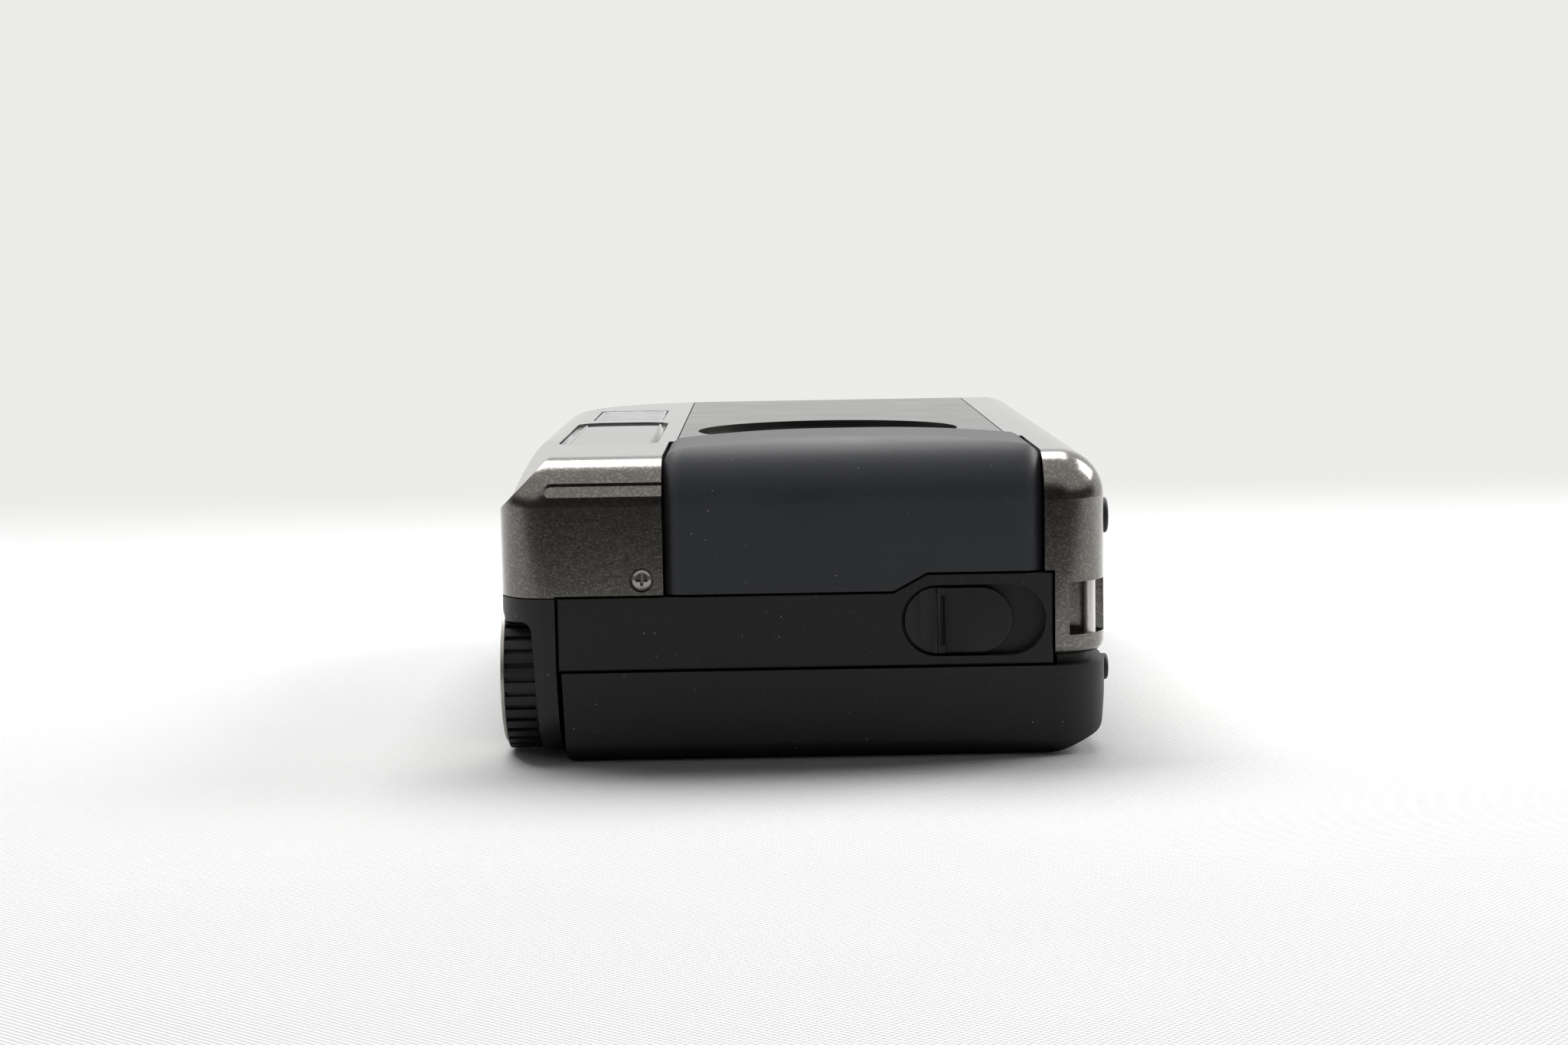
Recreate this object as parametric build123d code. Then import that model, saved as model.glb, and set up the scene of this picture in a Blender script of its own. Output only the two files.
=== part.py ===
from build123d import *
from math import cos, pi, radians, sin, sqrt, tan
import os

# A compact film camera that lies on its back door, in millimetres.
# +Z points out of the lens, -X is the top plate and +X the bottom of the camera,
# -Y is the grip end and +Y the end where the back door is hinged.
# The origin is on the floor, in the middle of the box round the camera.

# What the camera holds
gate_length = 36.0
gate_height = 24.0
chamber_height = 48.0
chamber_wall = 1.0
spool_chamber_r = 9.6
cassette_r = 12.5
cassette_gap = 0.6
cassette_chamber_r = cassette_r + cassette_gap
battery_r = 8.5
battery_length = 34.5
battery_gap = 0.25
opening_r = 16.9
slide_gap = 0.2
tube_wall = 1.0
outer_barrel_r = opening_r - 0.3
tube_r = outer_barrel_r + slide_gap

# Room left round those, which sets the overall size
top_room = 14.0
bottom_room = 6.1
near_room = 5.4
lens_near_room = 0.9
lens_far_room = 0.6
battery_near_room = 1.15
battery_far_room = 5.05
spool_stretch = 2 * (spool_chamber_r + chamber_wall)
lens_stretch = lens_near_room + 2 * (tube_r + tube_wall) + lens_far_room
cassette_stretch = 2 * (cassette_chamber_r + chamber_wall)
battery_stretch = battery_near_room + 2 * (battery_r + battery_gap) + battery_far_room
body_height = chamber_height + 2 * chamber_wall + top_room + bottom_room
body_length = near_room + spool_stretch + lens_stretch + cassette_stretch + battery_stretch
front_z = 35.0
foot_proud = 0.8
foot_radius = 2.1
wall = 1.6
seam = 0.15
corner_r = 6.0
far_top_corner_r = 24.0
front_edge_r = 5.4

top_x = -(body_height + foot_proud) / 2
bottom_x = top_x + body_height
near_y = -body_length / 2
far_y = body_length / 2

# Where the covers part from each other
door_seam_z = 10.55
rear_split_x = top_x + 6.6
rear_seam_z = 19.2
step_seam_z = 21.3
step_start_x = bottom_x - 24.8
step_end_x = bottom_x - 20.9
side_x = (rear_split_x, bottom_x - 6.4)
side_thickness = 2.6
rear_cover_back_z = 0.7
split_lean = 2.2

# The cover's rounded lower edge past the strip cover
cover_gap = 0.95
cover_edge_r = 1.3

# Flat bevel on the near end of the top front edge, and the slope that runs out of it
bevel_depth = 4.15
bevel_end_y = near_y + 19.8
slope_end_y = near_y + 45.0
round_depth = front_edge_r * (sqrt(2) - 1)
slope_rate = (bevel_depth - round_depth) / (slope_end_y - bevel_end_y)
slope_margin = 0.4

# Grip
grip_x = (top_x + 18.95, bottom_x - 7.4)
grip_z = 37.0
grip_crest_y = near_y + 19.0
grip_far_y = near_y + 27.0
grip_nose_r = 7.5
grip_side_r = 2.4
grip_crest_r = 10.0
grip_crown_r = 170.0

# Film path and the lens between the two film chambers
film_z = 6.2
gate_plate = 2.2
door_plate = 2.0
chassis_near_y = near_y + near_room
spool_y = chassis_near_y + chamber_wall + spool_chamber_r
spool_z = door_plate + 1.4 + spool_chamber_r
lens_x = bottom_x - bottom_room - chamber_wall - chamber_height / 2
lens_y = spool_y + spool_chamber_r + chamber_wall + lens_near_room + tube_r + tube_wall
cassette_y = lens_y + tube_r + tube_wall + lens_far_room + chamber_wall + cassette_chamber_r
cassette_z = door_plate + 0.5 + cassette_chamber_r
chamber_x = (lens_x - chamber_height / 2, lens_x + chamber_height / 2)

# Lens barrels
barrel_recess = 1.6
outer_barrel_wall = 1.6
inner_barrel_wall = 1.9
barrel_overlap = 4.0
outer_travel = 16.0
inner_travel = 13.0
rear_group_travel = 1.5
barrel_length = outer_travel + barrel_overlap
inner_barrel_length = inner_travel + barrel_overlap + 2.5
inner_barrel_r = outer_barrel_r - outer_barrel_wall - slide_gap
cell_r = inner_barrel_r - inner_barrel_wall
outer_front_z = front_z - barrel_recess
inner_front_z = outer_front_z - 0.4

# Back door hinge
pin_r = 0.8
knuckle_r = 2.5
door_knuckle_r = 2.2
running_gap = 0.05
knuckle_gap = 0.3
hinge_y = far_y - knuckle_r
hinge_z = door_seam_z
hinge_x = (bottom_x - 42.0, bottom_x - 6.4)
knuckle_length = 5.0
door_far_top_z = hinge_z - knuckle_r - 0.7


def block(x, y, z):
    centre = Pos((x[0] + x[1]) / 2, (y[0] + y[1]) / 2, (z[0] + z[1]) / 2)
    return centre * Box(x[1] - x[0], y[1] - y[0], z[1] - z[0])


def rod_x(x, y, z, radius):
    return Pos((x[0] + x[1]) / 2, y, z) * Rot(0, 90, 0) * Cylinder(radius, x[1] - x[0])


def rod_y(x, y, z, radius):
    return Pos(x, (y[0] + y[1]) / 2, z) * Rot(90, 0, 0) * Cylinder(radius, y[1] - y[0])


def rod_z(x, y, z, radius):
    return Pos(x, y, (z[0] + z[1]) / 2) * Cylinder(radius, z[1] - z[0])


def lens_rod(z, radius):
    return rod_z(lens_x, lens_y, z, radius)


def lens_ring(z, outer, inner):
    return lens_rod(z, outer) - lens_rod(z, inner)


# A flat shape given in X and Z, pushed through the stretch y
def prism_y(face, y):
    return extrude(Plane.XZ.offset(-y[1]) * face, amount=y[1] - y[0])


# A flat shape given in Y and Z, pushed through the stretch x
def prism_x(face, x):
    return extrude(Plane.YZ.offset(x[0]) * face, amount=x[1] - x[0])


def prism_z(face, z):
    return extrude(Plane.XY.offset(z[0]) * face, amount=z[1] - z[0])


def polygon(points):
    return make_face(Polyline(*points, close=True))


def round_corner(face, point, radius):
    corner = face.vertices().sort_by_distance((point[0], point[1], 0))[0]
    return fillet(corner, radius)


# The camera's outline seen along the lens axis, inset on every side
def outline(inset=0.0):
    low = (top_x + inset, near_y + inset)
    high = (bottom_x - inset, far_y - inset)
    face = polygon([low, (high[0], low[1]), high, (low[0], high[1])])
    face = round_corner(face, low, corner_r - inset)
    face = round_corner(face, (high[0], low[1]), corner_r - inset)
    face = round_corner(face, high, corner_r - inset)
    return round_corner(face, (low[0], high[1]), far_top_corner_r - inset)


# What the bevel and its slope take off the top front edge
def bevel_cut(inset):
    end = (slope_end_y + slope_margin / slope_rate, slope_margin - round_depth - inset)
    face = polygon([(near_y - 1, -bevel_depth - inset), (bevel_end_y, -bevel_depth - inset), end,
                    (end[0], front_edge_r), (near_y - 1, front_edge_r)])
    return Pos(top_x, 0, front_z) * Rot(0, -45, 0) * prism_x(face, (-2 * front_edge_r, 2 * front_edge_r))


# The whole camera as one soft-edged form
def camera_form(inset, back_z):
    form = prism_z(outline(inset), (back_z, front_z - inset))
    form = fillet(form.edges().group_by(Axis.Z)[-1], front_edge_r - inset)
    return form - bevel_cut(inset)


outer_form = camera_form(0.0, 0.0)
inner_form = camera_form(wall, -1.0)
whole_y = (near_y - 1, far_y + 1)
whole_x = (top_x - 1, bottom_x + 1)

# Front openings
panel_x = (grip_x[0] + 0.85, grip_x[1] - 1.6)
panel_y = (grip_far_y + 0.8, far_y - 6.0)
panel_thickness = 0.8
panel_corner_r = 1.5
window_x = (top_x + 5.3, grip_x[0] - 1.35)
window_y = (near_y + 23.4, near_y + 64.4)
window_corner_r = 3.5
window_thickness = 1.2
window_ledge = 1.2
flash_x = (window_x[0] + 1.5, window_x[1] - 1.0)
flash_y = (window_y[1] + 4.0, window_y[1] + 26.0)
flash_corner_r = 1.2
flash_lens_thickness = 1.6

# Top plate openings
shutter_button_r = 4.2
shutter_button_z = 24.2
shutter_button_y = near_y + 17.5
top_control_z = 25.0
shutter_travel = 1.0
rocker_y = (shutter_button_y + 9.0, shutter_button_y + 22.0)
rocker_width = 7.0
rocker_thickness = 1.7
small_button_r = 2.2
small_button_travel = 0.5
flash_button_y = rocker_y[1] + 5.5
timer_button_y = flash_button_y + 2 * small_button_r + 2.6
display_y = (timer_button_y + 5.0, timer_button_y + 24.0)
display_z = (20.6, 29.4)
display_pane = 1.0
display_panel = 1.2
control_gap = 0.2

# Bottom plate openings
tripod_y = lens_y
tripod_z = 20.0
tripod_hole_r = 2.55
tripod_bush_r = 5.0
tripod_depth = 6.5
battery_y = cassette_y + cassette_chamber_r + chamber_wall + battery_near_room + battery_r + battery_gap
battery_z = hinge_z + 1.6 + chamber_wall + battery_r + battery_gap
battery_end_x = bottom_x - wall - 3.3
battery_door_y = (battery_y - battery_r - 1.4, battery_y + battery_r)
battery_door_z = (battery_z - battery_r - 0.3, front_z - front_edge_r)
battery_pin_r = 0.5
battery_knuckle_r = 1.1
foot_y = near_y + 9.0
far_foot_y = lens_y + 22.0
body_foot_z = 26.8
door_foot_z = 8.8
door_foot_radius = 1.55

# Strap lug
lug_x = bottom_x - 4.6
lug_z = (13.9, 20.0)
lug_depth = 4.6
lug_pin_r = 0.65
lug_pin_x = bottom_x - 2.0
lug_pin_y = near_y + 2.6

# Screws
screw_head_r = 1.25
screw_head_height = 0.9
screw_shank_r = 0.6
screw_length = 4.2
screw_slot = (0.35, 1.6, 0.45)
boss_r = 1.4
near_screw = (grip_x[0] - 2.45, rear_seam_z + 1.9)
bottom_screws = [(near_y + 14.0, 16.0), (cassette_y + 3.0, 20.0)]
far_screw = (hinge_x[0] - 1.4, 24.0)


def rounded_panel(x, y, z, radius):
    face = RectangleRounded(x[1] - x[0], y[1] - y[0], radius)
    return Pos((x[0] + x[1]) / 2, (y[0] + y[1]) / 2, 0) * prism_z(face, z)


def grow(span, amount):
    return (span[0] - amount, span[1] + amount)


# Outline of the strip cover on the grip end, with the step over the latch
def strip_outline(gap):
    points = [
        (side_x[0] + gap, door_seam_z + gap),
        (side_x[0] + gap, rear_seam_z - gap),
        (step_start_x, rear_seam_z - gap),
        (step_end_x, step_seam_z - gap),
        (side_x[1] - gap, step_seam_z - gap),
        (side_x[1] - gap, door_seam_z + gap),
    ]
    return polygon(points)


# Room for a countersunk screw whose head sits flush at the origin, pointing down
def screw_room():
    head = Pos(0, 0, -screw_head_height / 2) * Cylinder(screw_head_r + seam, screw_head_height)
    shank = Pos(0, 0, -screw_length / 2) * Cylinder(screw_shank_r, screw_length)
    return head + shank


def screw():
    head = Pos(0, 0, -screw_head_height / 2) * Cylinder(screw_head_r, screw_head_height)
    head = chamfer(head.edges().group_by(Axis.Z)[-1], 0.2)
    shank_z = -(screw_head_height + screw_length) / 2
    shank = Pos(0, 0, shank_z) * Cylinder(screw_shank_r, screw_length - screw_head_height)
    width, length, depth = screw_slot
    cross = Box(width, length, 2 * depth) + Box(length, width, 2 * depth)
    return head + shank - cross


near_end_screws = [Pos(near_screw[0], near_y, near_screw[1]) * Rot(90, 0, 0)]
bottom_end_screws = [Pos(bottom_x, y, z) * Rot(0, 90, 0) for y, z in bottom_screws]
far_end_screws = [Pos(far_screw[0], far_y, far_screw[1]) * Rot(-90, 0, 0)]
screw_places = near_end_screws + bottom_end_screws + far_end_screws


# Long flat on the rounded near front edge, from its left end to under the grip
facet_start_x = top_x + 5.5
facet_width = 1.75
facet_depth = 0.05
facet_centre = (near_y + 0.5, 31.37)
facet_lean = 55.4


def edge_facet():
    length = grip_x[0] + 1.5 - facet_start_x
    place = Pos(facet_start_x + length / 2, *facet_centre) * Rot(facet_lean, 0, 0)
    return place * Pos(0, 0, -facet_depth) * extrude(SlotOverall(length, facet_width), amount=1)


def lug_room():
    return block((lug_x, bottom_x + 1), (near_y - 1, near_y + lug_depth), lug_z)


# Round posts inside the covers that take the screws
def screw_bosses():
    depth = screw_length + 0.8
    post = Pos(0, 0, -(wall + depth) / 2) * Cylinder(boss_r, depth - wall)
    return [place * post for place in screw_places]


# What is taken off the cover's lower edge past the strip, which leaves it round
def lower_edge_cut():
    raised = prism_z(outline(), (door_seam_z + cover_gap, front_z))
    raised = fillet(raised.edges().group_by(Axis.Z)[0], cover_edge_r)
    return block((side_x[1] + seam, bottom_x + 1), whole_y, (0, door_seam_z + cover_gap + 2)) - raised


# How far past a corner's start the outline stays outside the hinge's axis
def nose_reach(radius):
    return sqrt(radius ** 2 - (radius - knuckle_r) ** 2)


nose_x = (top_x + far_top_corner_r - nose_reach(far_top_corner_r), bottom_x - corner_r + nose_reach(corner_r))


# Half-round lower edge of the far wall, which turns inside the door's far wall
def hinge_nose(x):
    half = rod_x(x, hinge_y, hinge_z, knuckle_r - running_gap)
    return half & block(x, (hinge_y, far_y), (0, front_z)) & outer_form


# The bronze front shell with every opening through it
def make_front_cover():
    cover = outer_form - inner_form - edge_facet()
    cover -= block(whole_x, whole_y, (-1, door_seam_z + seam))
    cover -= block((top_x - 1, rear_split_x), whole_y, (-1, rear_seam_z))
    cover -= lower_edge_cut()
    for x in ((nose_x[0], hinge_x[0] - knuckle_gap), (hinge_x[1] + knuckle_gap, nose_x[1])):
        cover += hinge_nose(x)
    cover += block((lug_x - 1.2, bottom_x - 0.8), (near_y + 0.8, near_y + lug_depth + wall),
                   (lug_z[0] - wall, lug_z[1] + wall)) & outer_form
    for boss in screw_bosses():
        cover += boss
    cover -= prism_y(strip_outline(-seam), (near_y - 1, near_y + side_thickness + seam))
    cover -= block(grip_x, (near_y - 1, grip_far_y), (rear_seam_z, grip_z + 1))
    through_z = (front_z - 3 * wall, front_z + 1)
    cover -= rounded_panel(panel_x, panel_y, (front_z - panel_thickness, front_z + 1), panel_corner_r)
    cover -= lens_rod(through_z, tube_r + tube_wall + seam)
    cover -= rounded_panel(window_x, window_y, (front_z - window_thickness, front_z + 1), window_corner_r)
    cover -= rounded_panel(grow(window_x, -window_ledge), grow(window_y, -window_ledge), through_z,
                           window_corner_r - window_ledge)
    cover -= rounded_panel(flash_x, flash_y, through_z, flash_corner_r)
    top = (top_x - 1, top_x + 3 * wall)
    cover -= rod_x(top, shutter_button_y, shutter_button_z, shutter_button_r + control_gap)
    cover -= block(top, grow(rocker_y, control_gap),
                   grow((top_control_z, top_control_z), rocker_width / 2 + control_gap))
    for button_y in (flash_button_y, timer_button_y):
        cover -= rod_x(top, button_y, top_control_z, small_button_r + control_gap)
    cover -= block((top_x - 1, top_x + display_pane), display_y, display_z)
    cover -= block(top, grow(display_y, -1), grow(display_z, -1))
    bottom = (bottom_x - 3 * wall, bottom_x + 1)
    cover -= rod_x(bottom, tripod_y, tripod_z, tripod_bush_r)
    cover -= block((bottom_x - wall - 0.5, bottom_x + 1), battery_door_y, battery_door_z)
    cover -= block((hinge_x[0] - knuckle_gap, hinge_x[1] + knuckle_gap),
                   (hinge_y - knuckle_r - knuckle_gap, far_y + 1), (0, hinge_z + knuckle_r + knuckle_gap))
    for place in screw_places:
        cover -= place * screw_room()
    cover -= lug_room()
    lug_pin = rod_z(lug_pin_x, lug_pin_y, grow(lug_z, wall - 0.4), lug_pin_r)
    return cover - lug_pin, lug_pin


def make_front_panel():
    panel = rounded_panel(grow(panel_x, -seam), grow(panel_y, -seam),
                          (front_z - panel_thickness, front_z), panel_corner_r)
    panel -= lens_rod((0, front_z + 1), opening_r)
    return panel - block(grow(grip_x, seam), (near_y, grip_far_y + seam), (0, front_z + 1))


# Solid form of the grip: the outside, or with an inset the hollow inside it
def make_grip(inset):
    low, high = grip_x[0] + inset, grip_x[1] - inset
    crown_r = grip_crown_r - inset
    crown = rod_y((grip_x[0] + grip_x[1]) / 2, whole_y, grip_z - grip_crown_r, crown_r)
    points = [
        (near_y + inset, grip_z - inset),
        (grip_crest_y, grip_z - inset),
        (grip_far_y - inset, front_z - panel_thickness - inset / 2),
    ]
    if inset > 0:
        back = [(grip_far_y - inset, 0), (near_y + inset, 0)]
    else:
        back = [
            (grip_far_y, front_z - 3 * wall),
            (chassis_near_y - 0.2, spool_z + spool_chamber_r + chamber_wall + 0.8),
            (chassis_near_y - 0.2, rear_seam_z),
            (near_y, rear_seam_z),
        ]
    face = round_corner(polygon(points + back), points[0], grip_nose_r - inset)
    face = round_corner(face, points[1], grip_crest_r)
    body = prism_x(face, (low, high)) & crown
    if inset > 0:
        return body
    ends = [edge for edge in body.edges().filter_by(Plane.YZ)
            if edge.center().Z > rear_seam_z + 1 and edge.center().Y < grip_far_y - 1
            and (edge.center().Y < near_y + 3 or edge.center().Z > front_z)]
    return fillet(ends, grip_side_r)


# Thumb dial in the near back corner. Its own X runs from the top plate inwards and leans with it.
dial_r = 9.0
dial_setback = 0.6
dial_y = near_y + dial_r + dial_setback
dial_z = 9.15
dial_lean = 3.2
dial_place = Pos(top_x, dial_y, dial_z) * Rot(0, -dial_lean, 0)
dial_x = (0.6, 3.7)
dial_cap_r = 8.2
dial_gap = 0.3
dial_window_top = 7.05
dial_window_r = 1.2
dial_post_r = 1.5
dial_ribs = 32
dial_rib_depth = 0.3


def dial_rod(x, radius):
    return dial_place * rod_x(x, 0, 0, radius)


# Eyepiece in the back of the top cover
eyepiece_x = (rear_split_x - 4.6, rear_split_x - 0.5)
eyepiece_y = (lens_y - 4.5, lens_y + 4.5)
eyepiece_depth = 5.0
rear_back_r = 5.5
finder_x = (window_x[0] + 0.75, window_x[0] + 5.45)
finder_y = (lens_y - 5.5, lens_y + 5.5)
finder_z = (door_seam_z + 0.6, front_z - window_thickness - 0.3)

# Latch in the strip cover
latch_slot = (16.6, 8.25)
latch_centre = (bottom_x - 15.6, 15.83)
latch_pocket_depth = 1.5
latch_knob = (12.4, 7.6)
latch_knob_depth = 1.3
latch_end_gap = 0.4
latch_travel = latch_slot[0] - latch_knob[0] - 2 * latch_end_gap
latch_knob_x = latch_centre[0] - latch_slot[0] / 2 + latch_end_gap + latch_knob[0] / 2
latch_stem = (4.0, 3.0)
latch_bar = (9.0, 5.0, 0.7)
latch_bar_y = near_y + side_thickness + 0.2
hook_x = (latch_centre[0] - 5.8, latch_centre[0] - 3.8)
hook_nose = 1.5
hook_y = (near_y + 4.0, near_y + 4.9)
hook_top_z = 16.2
pawl_gap = 0.2
pawl_length = 2.0


# The stretch of the rear cover past which the back door starts, leaning with the door's edge
def rear_cover_region():
    right_x = rear_split_x - seam
    lean = (door_seam_z - rear_cover_back_z) * tan(radians(split_lean))
    return prism_y(polygon([
        (top_x - 1, rear_cover_back_z),
        (right_x + lean, rear_cover_back_z),
        (right_x, door_seam_z),
        (right_x, rear_seam_z - seam),
        (top_x - 1, rear_seam_z - seam),
    ]), whole_y)


def make_rear_top_cover():
    shell = outer_form & rear_cover_region()
    back = [edge for edge in shell.edges().filter_by(Axis.Y)
            if edge.center().Z < rear_cover_back_z + 0.1 and edge.center().X < top_x + 0.1]
    shell = fillet(back, rear_back_r)
    hollow = block((top_x + wall, rear_split_x), whole_y, (rear_cover_back_z + wall, rear_seam_z))
    corner = [edge for edge in hollow.edges().filter_by(Axis.Y)
              if edge.center().Z < rear_seam_z - 1 and edge.center().X < rear_split_x - 1]
    hollow = fillet(corner, rear_back_r - wall)
    cover = shell - (hollow & camera_form(wall, -1.0))
    floor_x = dial_x[1] + dial_gap
    floor = dial_rod((floor_x, floor_x + 3), dial_r + 1)
    floor += dial_place * block((floor_x, floor_x + 3), (-dial_r - 2, 0), (-dial_r - 1, dial_r))
    cover += floor & shell
    cover -= dial_rod((-2, floor_x), dial_r + dial_gap)
    window = polygon([(-2, -dial_r - 1), (floor_x, -dial_r - 1), (floor_x, dial_window_top),
                      (-2, dial_window_top)])
    window = round_corner(window, (floor_x, dial_window_top), dial_window_r)
    cover -= dial_place * prism_y(window, (-dial_r - 2, 0))
    cover += dial_rod((dial_x[0], floor_x + 0.3), dial_post_r)
    return cover - block(eyepiece_x, eyepiece_y, (0, rear_cover_back_z + eyepiece_depth + seam))


def make_mode_dial():
    wheel = rod_x(dial_x, 0, 0, dial_r)
    wheel = chamfer(wheel.edges().filter_by(GeomType.CIRCLE), 0.2)
    middle = (dial_x[0] + dial_x[1]) / 2
    for rib in range(dial_ribs):
        groove = Rot(rib * 360 / dial_ribs, 0, 0) * Pos(middle, 0, dial_r) * Rot(45, 0, 0)
        wheel -= groove * Box(dial_x[1] - dial_x[0] + 1, 2 * dial_rib_depth, 2 * dial_rib_depth)
    return dial_place * (wheel - rod_x(dial_x, 0, 0, dial_post_r + running_gap))


def make_dial_cap():
    cap = dial_rod((0, dial_x[0]), dial_cap_r)
    return fillet(cap.edges().group_by(Axis.X)[0], 0.4)


def make_eyepiece():
    eyepiece = block(grow(eyepiece_x, -seam), grow(eyepiece_y, -seam),
                     (rear_cover_back_z, rear_cover_back_z + eyepiece_depth))
    window = block(grow(eyepiece_x, -0.9), grow(eyepiece_y, -0.9), (0, rear_cover_back_z + 0.6))
    return eyepiece - window


plate_edge = 0.15


def make_side_cover():
    plate = prism_y(strip_outline(seam), (near_y, near_y + side_thickness))
    plate = chamfer(plate.faces().sort_by(Axis.Y)[0].edges(), plate_edge)
    pocket_place = Pos(latch_centre[0], near_y, latch_centre[1]) * Rot(90, 0, 0)
    pocket = pocket_place * extrude(SlotOverall(*latch_slot), latch_pocket_depth, both=True)
    stem_room_x = (latch_knob_x - latch_stem[0] / 2 - latch_end_gap,
                   latch_knob_x + latch_stem[0] / 2 + latch_travel + latch_end_gap)
    stem_room_z = grow((latch_centre[1], latch_centre[1]), latch_stem[1] / 2 + 0.2)
    return plate - pocket - block(stem_room_x, (near_y, near_y + 4), stem_room_z)


def make_latch_slider():
    place = Pos(latch_knob_x, near_y + latch_knob_depth, latch_centre[1]) * Rot(90, 0, 0)
    knob = place * extrude(SlotOverall(*latch_knob), latch_knob_depth)
    knob = fillet(knob.edges().group_by(Axis.Y)[0], 0.35)
    thumb_r = 9.0
    thumb = rod_z(latch_knob_x - latch_knob[0] / 2 + 1.8, near_y - thumb_r + 0.55, (0, front_z), thumb_r)
    thumb &= block((top_x, latch_knob_x - latch_knob[0] / 2 + 4.7), whole_y, (0, front_z))
    knob -= thumb
    bar_y = (latch_bar_y, latch_bar_y + latch_bar[2])
    stem = block(grow((latch_knob_x, latch_knob_x), latch_stem[0] / 2),
                 (near_y + latch_knob_depth - 0.2, bar_y[0]), grow((latch_centre[1],) * 2, latch_stem[1] / 2))
    bar = block(grow((latch_knob_x, latch_knob_x), latch_bar[0] / 2), bar_y,
                grow((latch_centre[1],) * 2, latch_bar[1] / 2))
    pawl_x = hook_x[1] + hook_nose + pawl_gap
    pawl = block((pawl_x, pawl_x + pawl_length), (bar_y[0], hook_y[1]),
                 (hook_top_z - 4.0, hook_top_z - 1.9))
    return knob + stem + bar + pawl


# Back door, which the camera lies on
door_left_x = rear_split_x + 0.45
door_corner_r = 4.0
door_edge_r = 2.0
film_window_x = (lens_x - 9.0, lens_x + 9.0)
film_window_y = (cassette_y - 2.0, cassette_y + 2.0)
door_wall_y = near_y + wall


def knuckle_spans():
    first = (hinge_x[0], hinge_x[0] + knuckle_length)
    last = (hinge_x[1] - knuckle_length, hinge_x[1])
    return first, last


# Seen along Y: the door's left edge leans, and its right edge runs into a long bevel
def door_profile(top_z):
    left_x = door_left_x + top_z * tan(radians(split_lean))
    side = (bottom_x - 0.6, 2.6)
    face = polygon([(left_x, 0), (bottom_x - 6.3, 0), side, (bottom_x, 7.5), (bottom_x, top_z),
                    (door_left_x, top_z)])
    face = round_corner(face, (left_x, 0), 1.0)
    face = round_corner(face, (bottom_x - 6.3, 0), door_corner_r)
    face = round_corner(face, side, 1.6)
    return round_corner(face, (bottom_x, 7.5), 2 * door_corner_r)


# Rib inside the door's rim that keeps light out of the gap under the cover's round edge
def light_rib():
    foot = prism_z(outline(wall - 0.3) - outline(wall + 0.9), (door_seam_z - 2.0, door_seam_z - seam))
    lip = prism_z(outline(wall + seam) - outline(wall + 0.9), (door_seam_z - 2.0, door_seam_z + 1.3))
    return (foot + lip) & block((side_x[1] + 0.5, bottom_x), (near_y, hinge_y - 6.0), (0, front_z))


def make_back_door():
    block_z = (0, door_seam_z - seam)
    form = prism_z(outline(), block_z)
    form = fillet(form.edges().group_by(Axis.Z)[0], door_edge_r)
    form &= prism_y(door_profile(block_z[1]), whole_y)
    hollow_z = (door_plate, door_seam_z + 1)
    hollow = prism_z(outline(wall), hollow_z)
    hollow = fillet(hollow.edges().group_by(Axis.Z)[0], door_corner_r - 0.6)
    hollow &= block((door_left_x + wall, bottom_x), whole_y, hollow_z)
    door = form - hollow + light_rib()
    door -= block(whole_x, (far_y - 2 * wall, far_y + 1), (door_far_top_z, door_seam_z + 1))
    door -= rod_x(nose_x, hinge_y, hinge_z, knuckle_r + seam)
    for span in knuckle_spans():
        knuckle = rod_x(span, hinge_y, hinge_z, door_knuckle_r)
        knuckle += block(span, (hinge_y - door_knuckle_r, hinge_y + door_knuckle_r), (door_plate, hinge_z))
        door += knuckle & prism_z(outline(), (0, hinge_z + knuckle_r))
    door -= rod_x(hinge_x, hinge_y, hinge_z, pin_r)
    hook = block(hook_x, hook_y, (door_plate - 0.2, hook_top_z))
    hook += block((hook_x[0], hook_x[1] + hook_nose), hook_y, (hook_top_z - 1.6, hook_top_z))
    hook += block(grow(hook_x, 3.0), (door_wall_y - 0.1, hook_y[1]), (door_plate - 0.2, door_plate + 1.0))
    for y in (foot_y, far_foot_y):
        door -= rod_x((bottom_x - 0.4, bottom_x + 1), y, door_foot_z, door_foot_radius)
    door -= block(film_window_x, film_window_y, (-1, door_plate + 1))
    return door + hook


def make_feet(z, radius):
    feet = []
    for y in (foot_y, far_foot_y):
        foot = rod_x((bottom_x - 0.4, bottom_x + foot_proud), y, z, radius)
        feet.append(fillet(foot.edges().group_by(Axis.X)[-1], 0.35))
    return feet[0] + feet[1]


# Pressure plate and its leaf spring on the door
plate_x = grow((lens_x, lens_x), gate_height / 2 + 6.0)
plate_y = grow((lens_y, lens_y), gate_length / 2 + 3.0)
plate_thickness = 0.9
plate_corner_r = 2.0
film_gap = 0.25
spring_width = 7.0
spring_strip = 0.3
plate_z = (film_z - film_gap - plate_thickness, film_z - film_gap)


def make_pressure_plate():
    plate = rounded_panel(plate_x, plate_y, plate_z, plate_corner_r)
    return chamfer(plate.edges().group_by(Axis.Z)[-1], 0.3)


def make_pressure_spring():
    half = (plate_y[1] - plate_y[0]) / 2 - 5.0
    rise = 0.82 * (plate_z[0] - door_plate - spring_strip)
    low = Spline((lens_y - half, door_plate), (lens_y - half / 2, door_plate + rise),
                 (lens_y, door_plate + 0.4), (lens_y + half / 2, door_plate + rise),
                 (lens_y + half, door_plate))
    high = Pos(0, spring_strip) * low
    face = make_face([low, high, Line(low @ 0, high @ 0), Line(low @ 1, high @ 1)])
    return prism_x(face, (lens_x - spring_width / 2, lens_x + spring_width / 2))


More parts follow.
